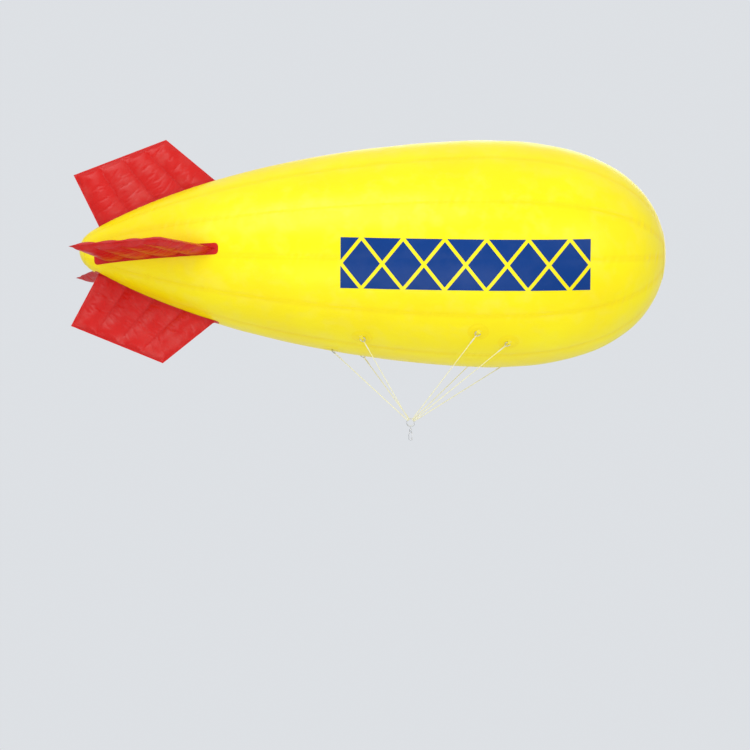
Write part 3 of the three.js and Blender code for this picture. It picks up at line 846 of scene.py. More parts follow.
pattern_fin, fin_marks = make_fin()
fin_bands = sheet_from(pattern_fin, fin_marks["near_baffle"])
thicken(fin_bands, 0.8 * MM)
smooth(pattern_fin)
smooth(fin_bands)
for side, to_side in FINS:
    fin = copied(pattern_fin, to_side)
    finish_piece(fin, side + "_fin", fin_vinyl, "balloon", "fin_skin", "fin_" + side)
    set_part_material(fin, fin_marks["in_flange"], fin_weld_vinyl)
    bands = copied(fin_bands, to_side)
    finish_piece(bands, side + "_fin_welds", fin_weld_vinyl, "balloon", "fin_skin")

# Skirts that weld each fin's root to the hull, on both its sides
SKIRT_ENDS = (-3.340, -2.062)
SKIRT_HALF_WIDTH = 58 * MM
SKIRT_RISE = 38 * MM
SKIRT_TAPER = 90 * MM
SKIRT_END_ROUNDING = 40 * MM
SKIRT_LIFT = 1.3 * MM
SKIRT_THICKNESS = 1.0 * MM
SKIRT_COLUMNS = 104
SKIRT_CROWDING = 0.11
HULL_LEG = [1.0, 0.78, 0.52, 0.26, 0.0]
FIN_LEG = [0.0, 0.3, 0.65, 1.0]
FIN_EMERGES = (-3.298, -2.080)
BEYOND_HULL = 1.6

hull_tree = BVHTree.FromObject(envelope, bpy.context.evaluated_depsgraph_get())


def skirt_side(side, fin_tree, to_side):
    """One side's skirt: a leg on the hull and a leg on the fin, with a small fillet between them."""
    from_side = to_side.inverted()
    down = to_side.to_3x3() @ Vector((0, 0, -1))
    inwards = to_side.to_3x3() @ Vector((0, -side, 0))

    def hull_height(x, y):
        hit = hull_tree.ray_cast(to_side @ Vector((x, y, BEYOND_HULL)), down)[0]
        return (from_side @ hit).z

    def fin_half(x, z):
        hit = fin_tree.ray_cast(to_side @ Vector((x, side * 4 * FIN_HALF_THICKNESS, z)), inwards)[0]
        return abs((from_side @ hit).y) if hit else 0.0

    deselect()
    rows = len(HULL_LEG) + len(FIN_LEG)
    bpy.ops.mesh.primitive_grid_add(x_subdivisions=SKIRT_COLUMNS, y_subdivisions=rows - 1, size=1)
    skirt = bpy.context.object
    flat = points_of(skirt) + 0.5
    columns = np.rint(flat[:, 0] * SKIRT_COLUMNS).astype(int)
    places = []
    for column in range(SKIRT_COLUMNS + 1):
        share = column / SKIRT_COLUMNS
        share -= SKIRT_CROWDING * math.sin(FULL_TURN * share)
        x = SKIRT_ENDS[0] + (SKIRT_ENDS[1] - SKIRT_ENDS[0]) * (share if side < 0 else 1 - share)
        to_end = min(x - SKIRT_ENDS[0], SKIRT_ENDS[1] - x)
        in_fin = np.clip(min(x - FIN_EMERGES[0], FIN_EMERGES[1] - x) / SKIRT_TAPER, 0, 1)
        rise = SKIRT_RISE * in_fin**2 * (3 - 2 * in_fin)
        half = fin_half(x, hull_height(x, 0) + 0.25 * SKIRT_RISE)
        foot = hull_height(x, side * half)
        half = fin_half(x, foot + SKIRT_LIFT)
        reach = half + 3 * SKIRT_LIFT
        wide = reach + (SKIRT_HALF_WIDTH - reach) * (0.3 + 0.7 * rounded(to_end, SKIRT_END_ROUNDING))
        for part in HULL_LEG:
            y = side * (reach + part * (wide - reach))
            places.append((x, y, hull_height(x, y) + SKIRT_LIFT))
        for part in FIN_LEG:
            z = foot + SKIRT_LIFT * (1 + 2 * in_fin) + part * rise
            half = fin_half(x, z)
            places.append((x, side * (half + SKIRT_LIFT) if half else 0.0, z))
    order = columns * rows + np.rint(flat[:, 1] * (rows - 1)).astype(int)
    local = np.array(places)[order]
    move_points(skirt, [to_side @ Vector(p) for p in local])
    map_film(skirt, local[:, 0], flat[:, 1] * SKIRT_HALF_WIDTH)
    return skirt


for side, to_side in FINS:
    fin_tree = BVHTree.FromObject(bpy.data.objects[side + "_fin"], bpy.context.evaluated_depsgraph_get())
    skirt = joined([skirt_side(hand, fin_tree, to_side) for hand in (-1, 1)])
    thicken(skirt, SKIRT_THICKNESS)
    smooth(skirt, 60)
    finish_piece(skirt, side + "_fin_skirt", fin_weld_vinyl, "balloon", "fin_skin", f"fin_{side}_root")
remove_all(pattern_fin, fin_bands)


# Printed band: a row of diamonds with half diamonds along its edges, on both flanks
PRINT_MIDDLE = 0.439
PRINT_LENGTH = 2.52
PRINT_HEIGHT = 0.52
PRINT_ANGLE = math.radians(72)
PRINT_DIAMONDS = 6
DIAMOND_FILL = 0.89
DIAMOND_CELLS = 16
PRINT_LIFT = 1.8 * MM
PRINT_THICKNESS = 0.3 * MM


def flat_diamond(x, y, half_length, half_height):
    deselect()
    bpy.ops.mesh.primitive_grid_add(
        x_subdivisions=DIAMOND_CELLS, y_subdivisions=DIAMOND_CELLS, size=math.sqrt(2)
    )
    diamond = bpy.context.object
    edit_all(diamond)
    middle = (0, 0, 0)
    bpy.ops.transform.rotate(value=HALF_TURN / 4, orient_axis="Z", center_override=middle)
    bpy.ops.transform.resize(value=(half_length, half_height, 1), center_override=middle)
    bpy.ops.transform.translate(value=(x, y, 0))
    close()
    return diamond


def flat_print():
    """The whole band laid out flat, trimmed to its rectangle."""
    pitch = PRINT_LENGTH / PRINT_DIAMONDS
    half_length = DIAMOND_FILL * pitch / 2
    half_height = DIAMOND_FILL * PRINT_HEIGHT / 2
    first = pitch / 2 - PRINT_LENGTH / 2
    places = [(first + number * pitch, 0) for number in range(PRINT_DIAMONDS)]
    for edge in (-PRINT_HEIGHT / 2, PRINT_HEIGHT / 2):
        places += [(number * pitch - PRINT_LENGTH / 2, edge) for number in range(PRINT_DIAMONDS + 1)]
    band = joined([flat_diamond(x, y, half_length, half_height) for x, y in places])
    for side in (-1, 1):
        for plane in ((PRINT_LENGTH / 2, 0, 0), (0, PRINT_HEIGHT / 2, 0)):
            edit_all(band)
            at = side * Vector(plane)
            bpy.ops.mesh.bisect(plane_co=at, plane_no=at.normalized(), clear_outer=True)
            close()
    return band


def hull_radius(x):
    return np.interp(x, outline[:, 0], outline[:, 1])


def laid_on_hull(at, heights):
    """Points moved onto the hull's film, each at a height above it."""
    laid = []
    for point, height in zip(at, heights):
        place, outwards, _, _ = hull_tree.find_nearest(Vector(point))
        laid.append(place + outwards * float(height))
    return np.array(laid)


def print_on(band, flank):
    """Lays the flat band on the right flank, 1, or the left flank, -1."""
    flat = points_of(band)
    x = PRINT_MIDDLE + flank * flat[:, 0]
    radius = hull_radius(x)
    angle = -flank * (PRINT_ANGLE + flat[:, 1] / radius)
    at = np.stack([x, radius * np.sin(angle), -radius * np.cos(angle)], axis=1)
    move_points(band, laid_on_hull(at, np.full(len(at), PRINT_LIFT)))
    thicken(band, PRINT_THICKNESS)
    smooth(band, 60)
    name = "right_print" if flank > 0 else "left_print"
    return finish_piece(band, name, print_film, "balloon", "hull_print")


first_band = flat_print()
second_band = copied(first_band, Matrix.Identity(4))
print_on(first_band, 1)
print_on(second_band, -1)


# Ways of shaping hardware


def mm(points):
    return [tuple(value * MM for value in point) for point in points]


def wire(points, closed=True):
    """A loop of edges through some points, or an open line."""
    deselect()
    bpy.ops.mesh.primitive_circle_add(vertices=len(points))
    piece = bpy.context.object
    move_points(piece, points)
    if not closed:
        edit(piece, "EDGE")
        close()
        for edge in piece.data.edges:
            edge.select = set(edge.vertices) == {0, len(points) - 1}
        bpy.ops.object.mode_set(mode="EDIT")
        bpy.ops.mesh.delete(type="EDGE")
        close()
    return piece


def turned(profile, steps, closed=False):
    """Turns a profile of radii and heights round the Z axis. An open one starts and ends on the axis."""
    piece = wire([(radius, 0, height) for radius, height in profile], closed)
    edit_all(piece)
    bpy.ops.mesh.spin(steps=steps, angle=FULL_TURN, center=(0, 0, 0), axis=(0, 0, 1))
    close_welded()
    return piece


def bent(radius, sides, start, heading, moves):
    """Bends a round wire. A move is an offset, a swelling (factor,) or (centre, axis, degrees, steps)."""
    deselect()
    turn = Vector((0, 0, 1)).rotation_difference(Vector(heading)).to_euler()
    bpy.ops.mesh.primitive_circle_add(vertices=sides, radius=radius, location=start, rotation=turn)
    bpy.ops.object.transform_apply(location=True, rotation=True)
    piece = bpy.context.object
    spot = Vector(start)
    edit_all(piece)
    for move in moves:
        if len(move) == 1:
            bpy.ops.transform.resize(value=(move[0], move[0], move[0]), center_override=spot)
        elif len(move) == 3:
            bpy.ops.mesh.extrude_region_move(TRANSFORM_OT_translate={"value": move})
            spot = spot + Vector(move)
        else:
            centre, axis, degrees, steps = move
            angle = math.radians(degrees)
            bpy.ops.mesh.spin(steps=steps, angle=-angle, center=centre, axis=axis)
            spot = Vector(centre) + Matrix.Rotation(angle, 3, axis) @ (spot - Vector(centre))
    bpy.ops.mesh.select_all(action="SELECT")
    bpy.ops.mesh.remove_doubles(threshold=WELD_DISTANCE)
    bpy.ops.mesh.fill_holes(sides=sides)
    bpy.ops.mesh.normals_make_consistent(inside=False)
    close()
    return piece


def soften(piece, width, segments=2):
    """Rounds a piece's sharp edges."""
    bevel = piece.modifiers.new("edges", "BEVEL")
    bevel.width = width
    bevel.segments = segments
    bevel.limit_method = "ANGLE"
    bevel.angle_limit = math.radians(38)
    apply_all(piece)


def plate(outline, low, high, edge):
    """A flat plate whose outline lies in the X-Z plane, with rounded edges."""
    piece = wire([(x, low, z) for x, z in outline])
    edit_all(piece)
    bpy.ops.mesh.edge_face_add()
    bpy.ops.mesh.extrude_region_move(TRANSFORM_OT_translate={"value": (0, high - low, 0)})
    bpy.ops.mesh.select_all(action="SELECT")
    bpy.ops.mesh.normals_make_consistent(inside=False)
    close()
    soften(piece, edge)
    return piece


def arc_points(centre, radius, first, last, steps):
    """Points on an arc, its ends given in degrees."""
    angles = np.radians(np.linspace(first, last, steps + 1))
    return [(centre[0] + radius * math.cos(a), centre[1] + radius * math.sin(a)) for a in angles]


def frame_of(x_axis, y_axis, z_axis, origin):
    matrix = Matrix((x_axis, y_axis, z_axis)).transposed().to_4x4()
    matrix.translation = origin
    return matrix


# Webbing, rope and metal finishes
WEBBING_PITCH = 1.6 * MM


def weave_group():
    """Plain weave over a flat map in metres: height of the yarns and a tone for each of them."""
    group, given, result = new_group(
        "plain_weave",
        [("Vector", "Vector", None), ("Pitch", "Float", 1.6 * MM)],
        [("Height", "Float"), ("Tone", "Float")],
    )
    over = crossed_waves(group, given["Vector"], math_node(group, "DIVIDE", HALF_TURN, given["Pitch"]))
    yarn = noise(group, given["Vector"], 900.0, 3.0)["Fac"]
    feed(group, result, {"Height": math_node(group, "ABSOLUTE", over), "Tone": yarn})
    return group


def wear_group():
    """Where handling has rubbed a part: its proud edges, in patches."""
    group, given, result = new_group(
        "edge_wear",
        [("Vector", "Vector", None), ("Scale", "Float", 60.0), ("Amount", "Float", 0.5)],
        [("Mask", "Float")],
    )
    edge = remap(group, group.nodes.new("ShaderNodeNewGeometry").outputs["Pointiness"], 0.0, 1.0, 0.52, 0.60)
    patches = noise(group, given["Vector"], given["Scale"], 4.0)["Fac"]
    uneven = remap(group, patches, 0.2, 1.0, 0.4, 0.6)
    worn = math_node(group, "MULTIPLY", edge, uneven)
    group.links.new(math_node(group, "MULTIPLY", worn, given["Amount"]), result.inputs["Mask"])
    return group


WEAVE = weave_group()
WEAR = wear_group()


def woven(name, colour, deep, pitch, depth):
    """Woven webbing: yarn relief with painted shade in its low parts, slightly uneven yarns, and faint dust in
    patches.
    """
    material, tree, surface, where = new_material(name, Specular_IOR_Level=0.3, Sheen_Weight=0.25)
    weave = place_group(tree, WEAVE, Vector=where["UV"], Pitch=pitch)
    dust = place_group(tree, DUST, Vector=where["Object"], Scale=40.0, Amount=0.12)
    # Painted shade: the low parts of the weave are mixed towards the deep colour.
    body = mix_colours(tree, remap(tree, weave["Height"], 0.0, 1.0, 0.1, 0.9), deep, colour)
    body = mix_colours(tree, remap(tree, weave["Tone"], 0.0, 0.35, 0.3, 0.7), body, deep)
    body = mix_colours(tree, dust["Mask"], body, (0.55, 0.50, 0.42, 1))
    feed(tree, surface, {"Base Color": body, "Roughness": remap(tree, weave["Tone"], 0.62, 0.80)})
    raise_surface(tree, surface, weave["Height"], depth)
    return material


def rope_yarn(name, colour, deep, scale, depth):
    """Spun yarn: fine fuzzy fibres, a little grey with dust in patches."""
    material, tree, surface, where = new_material(name, Specular_IOR_Level=0.3, Sheen_Weight=0.3)
    fibre = noise(tree, where["Object"], scale, 4.0)["Fac"]
    dust = place_group(tree, DUST, Vector=where["Object"], Scale=9.0, Amount=0.3)
    body = mix_colours(tree, remap(tree, fibre, 0.0, 1.0, 0.35, 0.65), deep, colour)
    body = mix_colours(tree, dust["Mask"], body, (0.62, 0.58, 0.44, 1))
    feed(tree, surface, {"Base Color": body, "Roughness": remap(tree, fibre, 0.68, 0.88)})
    raise_surface(tree, surface, fibre, depth)
    return material


def plated_steel():
    """Bright plated steel: brushed lightly, duller in patches and polished on its worn edges."""
    material, tree, surface, where = new_material("plated_steel", Metallic=1.0)
    worn = place_group(tree, WEAR, Vector=where["Object"], Amount=0.8)
    dust = place_group(tree, DUST, Vector=where["Object"], Scale=50.0, Amount=0.35)
    cloud = noise(tree, where["Object"], 45.0, 5.0)["Fac"]
    fine = noise(tree, where["Object"], 1500.0, 2.0)["Fac"]
    body = mix_colours(tree, cloud, (0.50, 0.51, 0.53, 1), (0.66, 0.67, 0.68, 1))
    body = mix_colours(tree, worn["Mask"], body, (0.80, 0.80, 0.80, 1))
    body = mix_colours(tree, dust["Mask"], body, (0.36, 0.34, 0.31, 1))
    dull = remap(tree, cloud, 0.22, 0.40, 0.35, 0.65)
    rough = math_node(tree, "MULTIPLY_ADD", dust["Mask"], 0.5, dull)
    rough = math_node(tree, "MULTIPLY_ADD", worn["Mask"], -0.08, rough)
    feed(tree, surface, {"Base Color": body, "Roughness": rough})
    raise_surface(tree, surface, fine, 0.06 * MM)
    return material


def moulded(name, colour, deep):
    """Moulded plastic: fine grain, faint flow clouds, edges rubbed paler."""
    material, tree, surface, where = new_material(name, Specular_IOR_Level=0.4)
    worn = place_group(tree, WEAR, Vector=where["Object"], Amount=0.5)
    dust = place_group(tree, DUST, Vector=where["Object"], Scale=30.0, Amount=0.4)
    grain = noise(tree, where["Object"], 1300.0, 2.0)["Fac"]
    body = mix_colours(tree, noise(tree, where["Object"], 28.0, 3.0)["Fac"], colour, deep)
    body = mix_colours(tree, worn["Mask"], body, (0.90, 0.90, 0.88, 1))
    body = mix_colours(tree, dust["Mask"], body, (0.50, 0.46, 0.40, 1))
    feed(tree, surface, {"Base Color": body, "Roughness": remap(tree, grain, 0.36, 0.50)})
    raise_surface(tree, surface, grain, 0.10 * MM)
    return material


webbing = woven("yellow_webbing", (1.0, 0.92, 0.03, 1), (0.94, 0.76, 0.02, 1), WEBBING_PITCH, 0.05 * MM)
tab_thread, cream_rope, whipping_thread = (
    rope_yarn(name, (*colour, 1), (*deep, 1), scale, depth * MM)
    for name, colour, deep, scale, depth in (
        ("tab_thread", (0.85, 0.80, 0.62), (0.60, 0.55, 0.40), 2500.0, 0.05),
        ("cream_rope", (1.0, 0.97, 0.62), (0.82, 0.76, 0.42), 1400.0, 0.20),
        ("whipping_thread", (0.92, 0.90, 0.74), (0.70, 0.66, 0.46), 2500.0, 0.04),
    )
)
steel = plated_steel()
valve_plastic = moulded("ivory_plastic", (0.74, 0.73, 0.68, 1), (0.66, 0.64, 0.58, 1))
cap_plastic = moulded("red_plastic", (0.50, 0.020, 0.014, 1), (0.40, 0.016, 0.012, 1))


# Bridle: load patches, tabs, D-rings and lines. Places along the hull, round it, and on the gathering ring
RING_CENTRE = Vector((-0.097, 0, -1.767))
RING_RADIUS = 40 * MM
RING_WIRE = 5 * MM
BRIDLE = [
    ("left_bow", 0.885, 27.5, 24),
    ("right_bow", 0.885, -27.5, 37),
    ("left_fore", 0.577, 35, 51),
    ("right_fore", 0.577, -35, 63),
    ("left_aft", -0.597, 24, 111),
    ("right_aft", -0.597, -24, 127),
    ("keel_aft", -0.903, 0, 144),
]
BAR_HEIGHT = 12 * MM
D_WIRE = 4 * MM
D_HALF_WIDTH = 27 * MM
D_SIDE = 14 * MM
D_CORNER = 6 * MM
PATCH_PROFILE = mm(
    [
        *[(0, 0), (28, 0), (55, 0), (83, 0), (110, 0), (110.4, 0.4), (110, 0.8), (97, 0.9)],
        *[(84.5, 0.9), (83.6, 1.2), (83, 1.9), (82, 2.2), (55, 2.2), (28, 2.2), (0, 2.2)],
    ]
)
PATCH_LIFT = 0.4 * MM
TAB_SEAT = -9.3 * MM
TAB_HALF_WIDTH = 20 * MM
TAB_HALF_LENGTH = 30 * MM
TAB_THICKNESS = 1.6 * MM
TAB_BAR_RADIUS = 4.4 * MM
TAB_FILLET = 5 * MM
TAB_ROWS = 12
STITCH_PITCH = 4 * MM
STITCH_SIZE = (1.6 * MM, 0.42 * MM, 0.42 * MM)


def on_hull(x, degrees):
    """A frame on the bare hull: X along it to the nose, Z outwards."""
    step = 1 * MM
    radius = float(hull_radius(x))
    slope = float(hull_radius(x + step) - hull_radius(x - step)) / (2 * step)
    angle = math.radians(degrees)
    radial = Vector((0, math.sin(angle), -math.cos(angle)))
    along = (Vector((1, 0, 0)) + slope * radial).normalized()
    outwards = (radial - Vector((slope, 0, 0))).normalized()
    return frame_of(along, outwards.cross(along), outwards, Vector((x, 0, 0)) + radius * radial)


def lay_disc(disc, frame_matrix, lift):
    """Bends a flat disc onto the hull's film."""
    local = points_of(disc)
    at = [frame_matrix @ Vector((x, y, 0)) for x, y, _ in local]
    map_film(disc, local[:, 0], local[:, 1])
    move_points(disc, laid_on_hull(at, local[:, 2] + lift))


def make_d_ring():
    """A round wire bent to a D with its bar along X, and the bead of its butt weld on one side."""
    bead = [(0, 1.5 * MM, 0), (1.06,), (0, 1.2 * MM, 0), (1.03,), (0, 1.2 * MM, 0), (1 / 1.03,)]
    bead += [(0, 1.2 * MM, 0), (1 / 1.06,)]
    rest = D_SIDE - D_CORNER - 5.1 * MM
    straight = D_HALF_WIDTH - D_CORNER
    moves = [(straight, 0, 0), ((straight, D_CORNER, 0), (0, 0, 1), 90, 6)]
    moves += bead + [(0, rest, 0), ((0, D_SIDE, 0), (0, 0, 1), 180, 30), (0, D_CORNER - D_SIDE, 0)]
    moves += [((-straight, D_CORNER, 0), (0, 0, 1), 90, 6), (straight, 0, 0)]
    ring = bent(D_WIRE, 16, (0, 0, 0), (1, 0, 0), moves)
    smooth(ring)
    return ring


def tab_path():
    """The inner line of the folded strap: over the patch, up, round the bar and down again."""
    fillet = TAB_BAR_RADIUS + TAB_FILLET
    hull_width = 2 * HULL_OUTLINE[2][0][1]
    leg = [(-y, TAB_SEAT - y**2 / hull_width) for y in np.linspace(TAB_HALF_LENGTH, fillet, 10)]
    up = arc_points((-fillet, TAB_SEAT + TAB_FILLET), TAB_FILLET, -90, 0, 6)[1:]
    over = arc_points((0, 0), TAB_BAR_RADIUS, 180, 90, 8)
    half = leg + up + over
    return half + [(-y, z) for y, z in reversed(half[:-1])]


def make_tab():
    """Webbing folded over the D-ring's bar, which lies along X."""
    path = np.array(tab_path())
    deselect()
    bpy.ops.mesh.primitive_grid_add(x_subdivisions=len(path) - 1, y_subdivisions=TAB_ROWS, size=1)
    tab = bpy.context.object
    flat = points_of(tab) + 0.5
    column = np.rint(flat[:, 0] * (len(path) - 1)).astype(int)
    across = TAB_HALF_WIDTH * (1 - 2 * flat[:, 1])
    move_points(tab, np.column_stack([across, path[column]]))
    along = np.concatenate([[0], np.cumsum(np.hypot(*np.diff(path, axis=0).T))])
    map_film(tab, along[column], across)
    thicken(tab, TAB_THICKNESS)
    soften(tab, 0.35 * MM)
    smooth(tab, 50)
    return tab


def sewn_line(start, end):
    """One straight line of stitches."""
    start, end = Vector(start), Vector(end)
    step = end - start
    count = round(step.length / STITCH_PITCH)
    deselect()
    turn = (0, 0, math.atan2(step.y, step.x))
    middle = start + step / (2 * count)
    bpy.ops.mesh.primitive_uv_sphere_add(
        segments=6, ring_count=4, radius=1, location=middle, rotation=turn, scale=STITCH_SIZE
    )
    bpy.ops.object.transform_apply(location=True, rotation=True, scale=True)
    stitch = bpy.context.object
    row = stitch.modifiers.new("row", "ARRAY")
    row.count = count
    row.use_relative_offset = False
    row.use_constant_offset = True
    row.constant_offset_displace = step / count
    apply_all(stitch)
    return stitch


def make_stitching():
    """Box stitching with a cross on both of the tab's legs."""
    x = TAB_HALF_WIDTH - 3.5 * MM
    near, far = 12 * MM, TAB_HALF_LENGTH - 3 * MM
    z = TAB_SEAT + TAB_THICKNESS - 0.1 * MM
    lines = []
    for side in (-1, 1):
        a, b, c, d = ((-x, side * near, z), (x, side * near, z), (x, side * far, z), (-x, side * far, z))
        lines += [sewn_line(*ends) for ends in ((a, b), (b, c), (c, d), (d, a), (a, c), (b, d))]
    stitching = joined(lines)
    smooth(stitching, 60)
    return stitching


# Lines: three strands laid together, with an eye drawn tight on its bar and whipped at both ends
LINE_RADIUS = 4 * MM
LINE_LAY = 27 * MM
EYE_ROPE_RADIUS = 3 * MM
EYE_LAY = 20 * MM
EYE_THROAT = 38 * MM
STRAND_SHARE = 0.48
STRAND_SIDES = 7
STEPS_PER_LAY = 10
WHIPPING_FROM = 37 * MM
WHIPPING_LENGTH = 70 * MM
WHIPPING_RADIUS = 5.5 * MM
WHIPPING_TURNS = 28
THREAD_RISE = 0.9 * MM
WHIPPING_CORE = 4.2 * MM


def laid_rope(length, radius, lay):
    """Three strands laid round each other, along Z from the origin."""
    strand = STRAND_SHARE * radius
    deselect()
    bpy.ops.mesh.primitive_circle_add(vertices=STRAND_SIDES, radius=strand, location=(radius - strand, 0, 0))
    bpy.ops.object.transform_apply(location=True)
    rope = bpy.context.object
    edit_all(rope)
    for _ in range(2):
        bpy.ops.mesh.duplicate()
        bpy.ops.transform.rotate(value=FULL_TURN / 3, orient_axis="Z", center_override=(0, 0, 0))
    close()
    turns = round(length / lay)
    screw = rope.modifiers.new("lay", "SCREW")
    screw.axis = "Z"
    screw.angle = FULL_TURN
    screw.screw_offset = length / turns
    screw.iterations = turns
    screw.steps = STEPS_PER_LAY
    screw.render_steps = STEPS_PER_LAY
    apply_all(rope)
    edit_all(rope)
    bpy.ops.mesh.fill_holes(sides=STRAND_SIDES)
    bpy.ops.mesh.normals_make_consistent(inside=False)
    close()
    return rope


def bend_along(piece, path, side):
    """Bends a piece that stands along Z so that it follows a path in one plane."""
    at = points_of(piece)
    length = np.concatenate([[0], np.cumsum(np.linalg.norm(np.diff(path, axis=0), axis=1))])
    where = at[:, 2] / at[:, 2].max() * length[-1]
    heading = np.gradient(path, length, axis=0)
    spot = np.stack([np.interp(where, length, path[:, axis]) for axis in range(3)], axis=1)
    ahead = np.stack([np.interp(where, length, heading[:, axis]) for axis in range(3)], axis=1)
    ahead /= np.linalg.norm(ahead, axis=1)[:, None]
    across = np.cross(np.tile(side, (len(at), 1)), ahead)
    move_points(piece, spot + at[:, :1] * across + at[:, 1:2] * np.array(side))


def make_eye(bar_radius):
    """A rope eye in the X-Y plane, drawn tight over a bar at the origin, with its throat towards Y."""
    turn = bar_radius + EYE_ROPE_RADIUS
    throat = (0.97 * EYE_ROPE_RADIUS, EYE_THROAT)
    leaves = math.degrees(math.atan2(throat[1], throat[0]) - math.acos(turn / math.hypot(*throat)))
    around = arc_points((0, 0), turn, leaves, -180 - leaves, 24)
    down = [(np.array(throat) + share * (np.array(around[0]) - throat)) for share in np.linspace(0, 0.95, 12)]
    flat = np.array([*down, *around, *[(-x, y) for x, y in reversed(down)]])
    path = np.column_stack([flat, np.zeros(len(flat))])
    length = float(np.sum(np.linalg.norm(np.diff(path, axis=0), axis=1)))
    eye = laid_rope(length, EYE_ROPE_RADIUS, EYE_LAY)
    bend_along(eye, path, (0.0, 0.0, 1.0))
    return eye


def make_whipping():
    """Thread wound tightly round the rope, along Z from the origin."""
    pitch = WHIPPING_LENGTH / WHIPPING_TURNS
    profile = [(0, 0), (WHIPPING_CORE, 0)]
    for number in range(WHIPPING_TURNS):
        inset = 0.4 * (3 - min(number + 1, WHIPPING_TURNS - number, 3)) * THREAD_RISE
        for share in (0.04, 0.24, 0.5, 0.76):
            rise = THREAD_RISE * math.sin(share * HALF_TURN)
            profile.append((WHIPPING_RADIUS - inset + rise, (number + share) * pitch))
    profile += [(WHIPPING_CORE, WHIPPING_LENGTH), (0, WHIPPING_LENGTH)]
    whipping = turned(profile, 20)
    smooth(whipping, 50)
    return whipping


def ring_wire_at(degrees):
    angle = math.radians(degrees)
    return RING_CENTRE + RING_RADIUS * Vector((math.cos(angle), 0, math.sin(angle)))


pattern_patch = turned(PATCH_PROFILE, 72)
pattern_tab = make_tab()
pattern_stitching = make_stitching()
pattern_d_ring = make_d_ring()
pattern_whipping = make_whipping()
upper_eye = make_eye(D_WIRE)
lower_eye = make_eye(RING_WIRE)

for name, x, degrees, ring_degrees in BRIDLE:
    surface = on_hull(x, degrees)
    outwards = surface.to_3x3() @ Vector((0, 0, 1))
    film_point = hull_tree.find_nearest(surface.translation)[0]
    bar_centre = film_point + BAR_HEIGHT * outwards
    ring_point = ring_wire_at(ring_degrees)
    pull = (ring_point - bar_centre).normalized()
    bar = outwards.cross(pull).normalized()
    tab_frame = frame_of(bar, outwards.cross(bar), outwards, bar_centre)
    d_frame = frame_of(bar, pull, bar.cross(pull), bar_centre)

    patch = copied(pattern_patch, Matrix.Identity(4))
    lay_disc(patch, surface, PATCH_LIFT)
    smooth(patch)
    finish_piece(patch, "load_patch_" + name, weld_vinyl, "balloon", "hull_webbing", "patch_" + name)
    tab = copied(pattern_tab, tab_frame)
    finish_piece(tab, "tab_" + name, webbing, "balloon", "hull_webbing")
    stitching = copied(pattern_stitching, tab_frame)
    finish_piece(stitching, "tab_stitching_" + name, tab_thread, "balloon", "hull_webbing")
    d_ring = copied(pattern_d_ring, d_frame)
    finish_piece(d_ring, "wire_d_" + name, steel, "balloon", "hardware_steel", "d_ring_" + name)

    top = bar_centre + (D_SIDE + D_HALF_WIDTH) * pull
    length = (ring_point - top).length
    along = frame_of(bar, pull.cross(bar), pull, top)
    rope = laid_rope(length - 2 * WHIPPING_FROM, LINE_RADIUS, LINE_LAY)
    moved_to(rope, along @ Matrix.Translation((0, 0, WHIPPING_FROM)))
    upper = copied(upper_eye, frame_of(pull.cross(bar), pull, bar, top))
    flat = pull.cross(Vector((0, 1, 0))).normalized()
    lower = copied(lower_eye, frame_of((-pull).cross(flat), -pull, flat, ring_point))
    line = joined([rope, upper, lower])
    smooth(line, 60)
    finish_piece(line, "bridle_" + name, cream_rope, "balloon", "line_rope", "line_" + name)
    first = copied(pattern_whipping, along @ Matrix.Translation((0, 0, WHIPPING_FROM)))
    to_lower = Matrix.Translation((0, 0, length - WHIPPING_FROM)) @ Matrix.Rotation(HALF_TURN, 4, "X")
    second = copied(pattern_whipping, along @ to_lower)
    whippings = joined([first, second])
    finish_piece(whippings, "whippings_" + name, whipping_thread, "balloon", "line_rope")
remove_all(pattern_patch, pattern_tab, pattern_stitching, pattern_d_ring, pattern_whipping)
remove_all(upper_eye, lower_eye)


# Gathering ring, swivel and snap hook. Heights are from the lowest point of the ring's wire
RING_WELD_DEGREES = 200
RING_WELD_REACH = 4.5 * MM
RING_WELD_RISE = 0.4 * MM
SNAP_ORIGIN = RING_CENTRE - Vector((0, 0, RING_RADIUS))
HOOK_TOP = -60 * MM
GATE_PIVOT = (17 * MM, -26 * MM)
GATE_TIP = (7.4 * MM, -61 * MM)


def make_gathering_ring():
    """A round steel ring with the bead of its butt weld."""
    deselect()
    bpy.ops.mesh.primitive_torus_add(
        location=RING_CENTRE,
        rotation=(QUARTER_TURN, 0, 0),
        major_segments=120,
        minor_segments=20,
        major_radius=RING_RADIUS,
        minor_radius=RING_WIRE,
    )
    bpy.ops.object.transform_apply(location=True, rotation=True)
    ring = bpy.context.object
    at = points_of(ring)
    from_middle = at - np.array(RING_CENTRE)
    angle = np.arctan2(from_middle[:, 2], from_middle[:, 0])
    core = RING_RADIUS * np.stack([np.cos(angle), np.zeros(len(at)), np.sin(angle)], axis=1)
    turn = angle - math.radians(RING_WELD_DEGREES)
    away = RING_RADIUS * np.abs((turn + HALF_TURN) % FULL_TURN - HALF_TURN)
    rise = RING_WELD_RISE * np.clip(1 - (away / RING_WELD_REACH) ** 2, 0, 1)
    move_points(ring, at + rise[:, None] * (from_middle - core) / RING_WIRE)
    smooth(ring)
    return ring


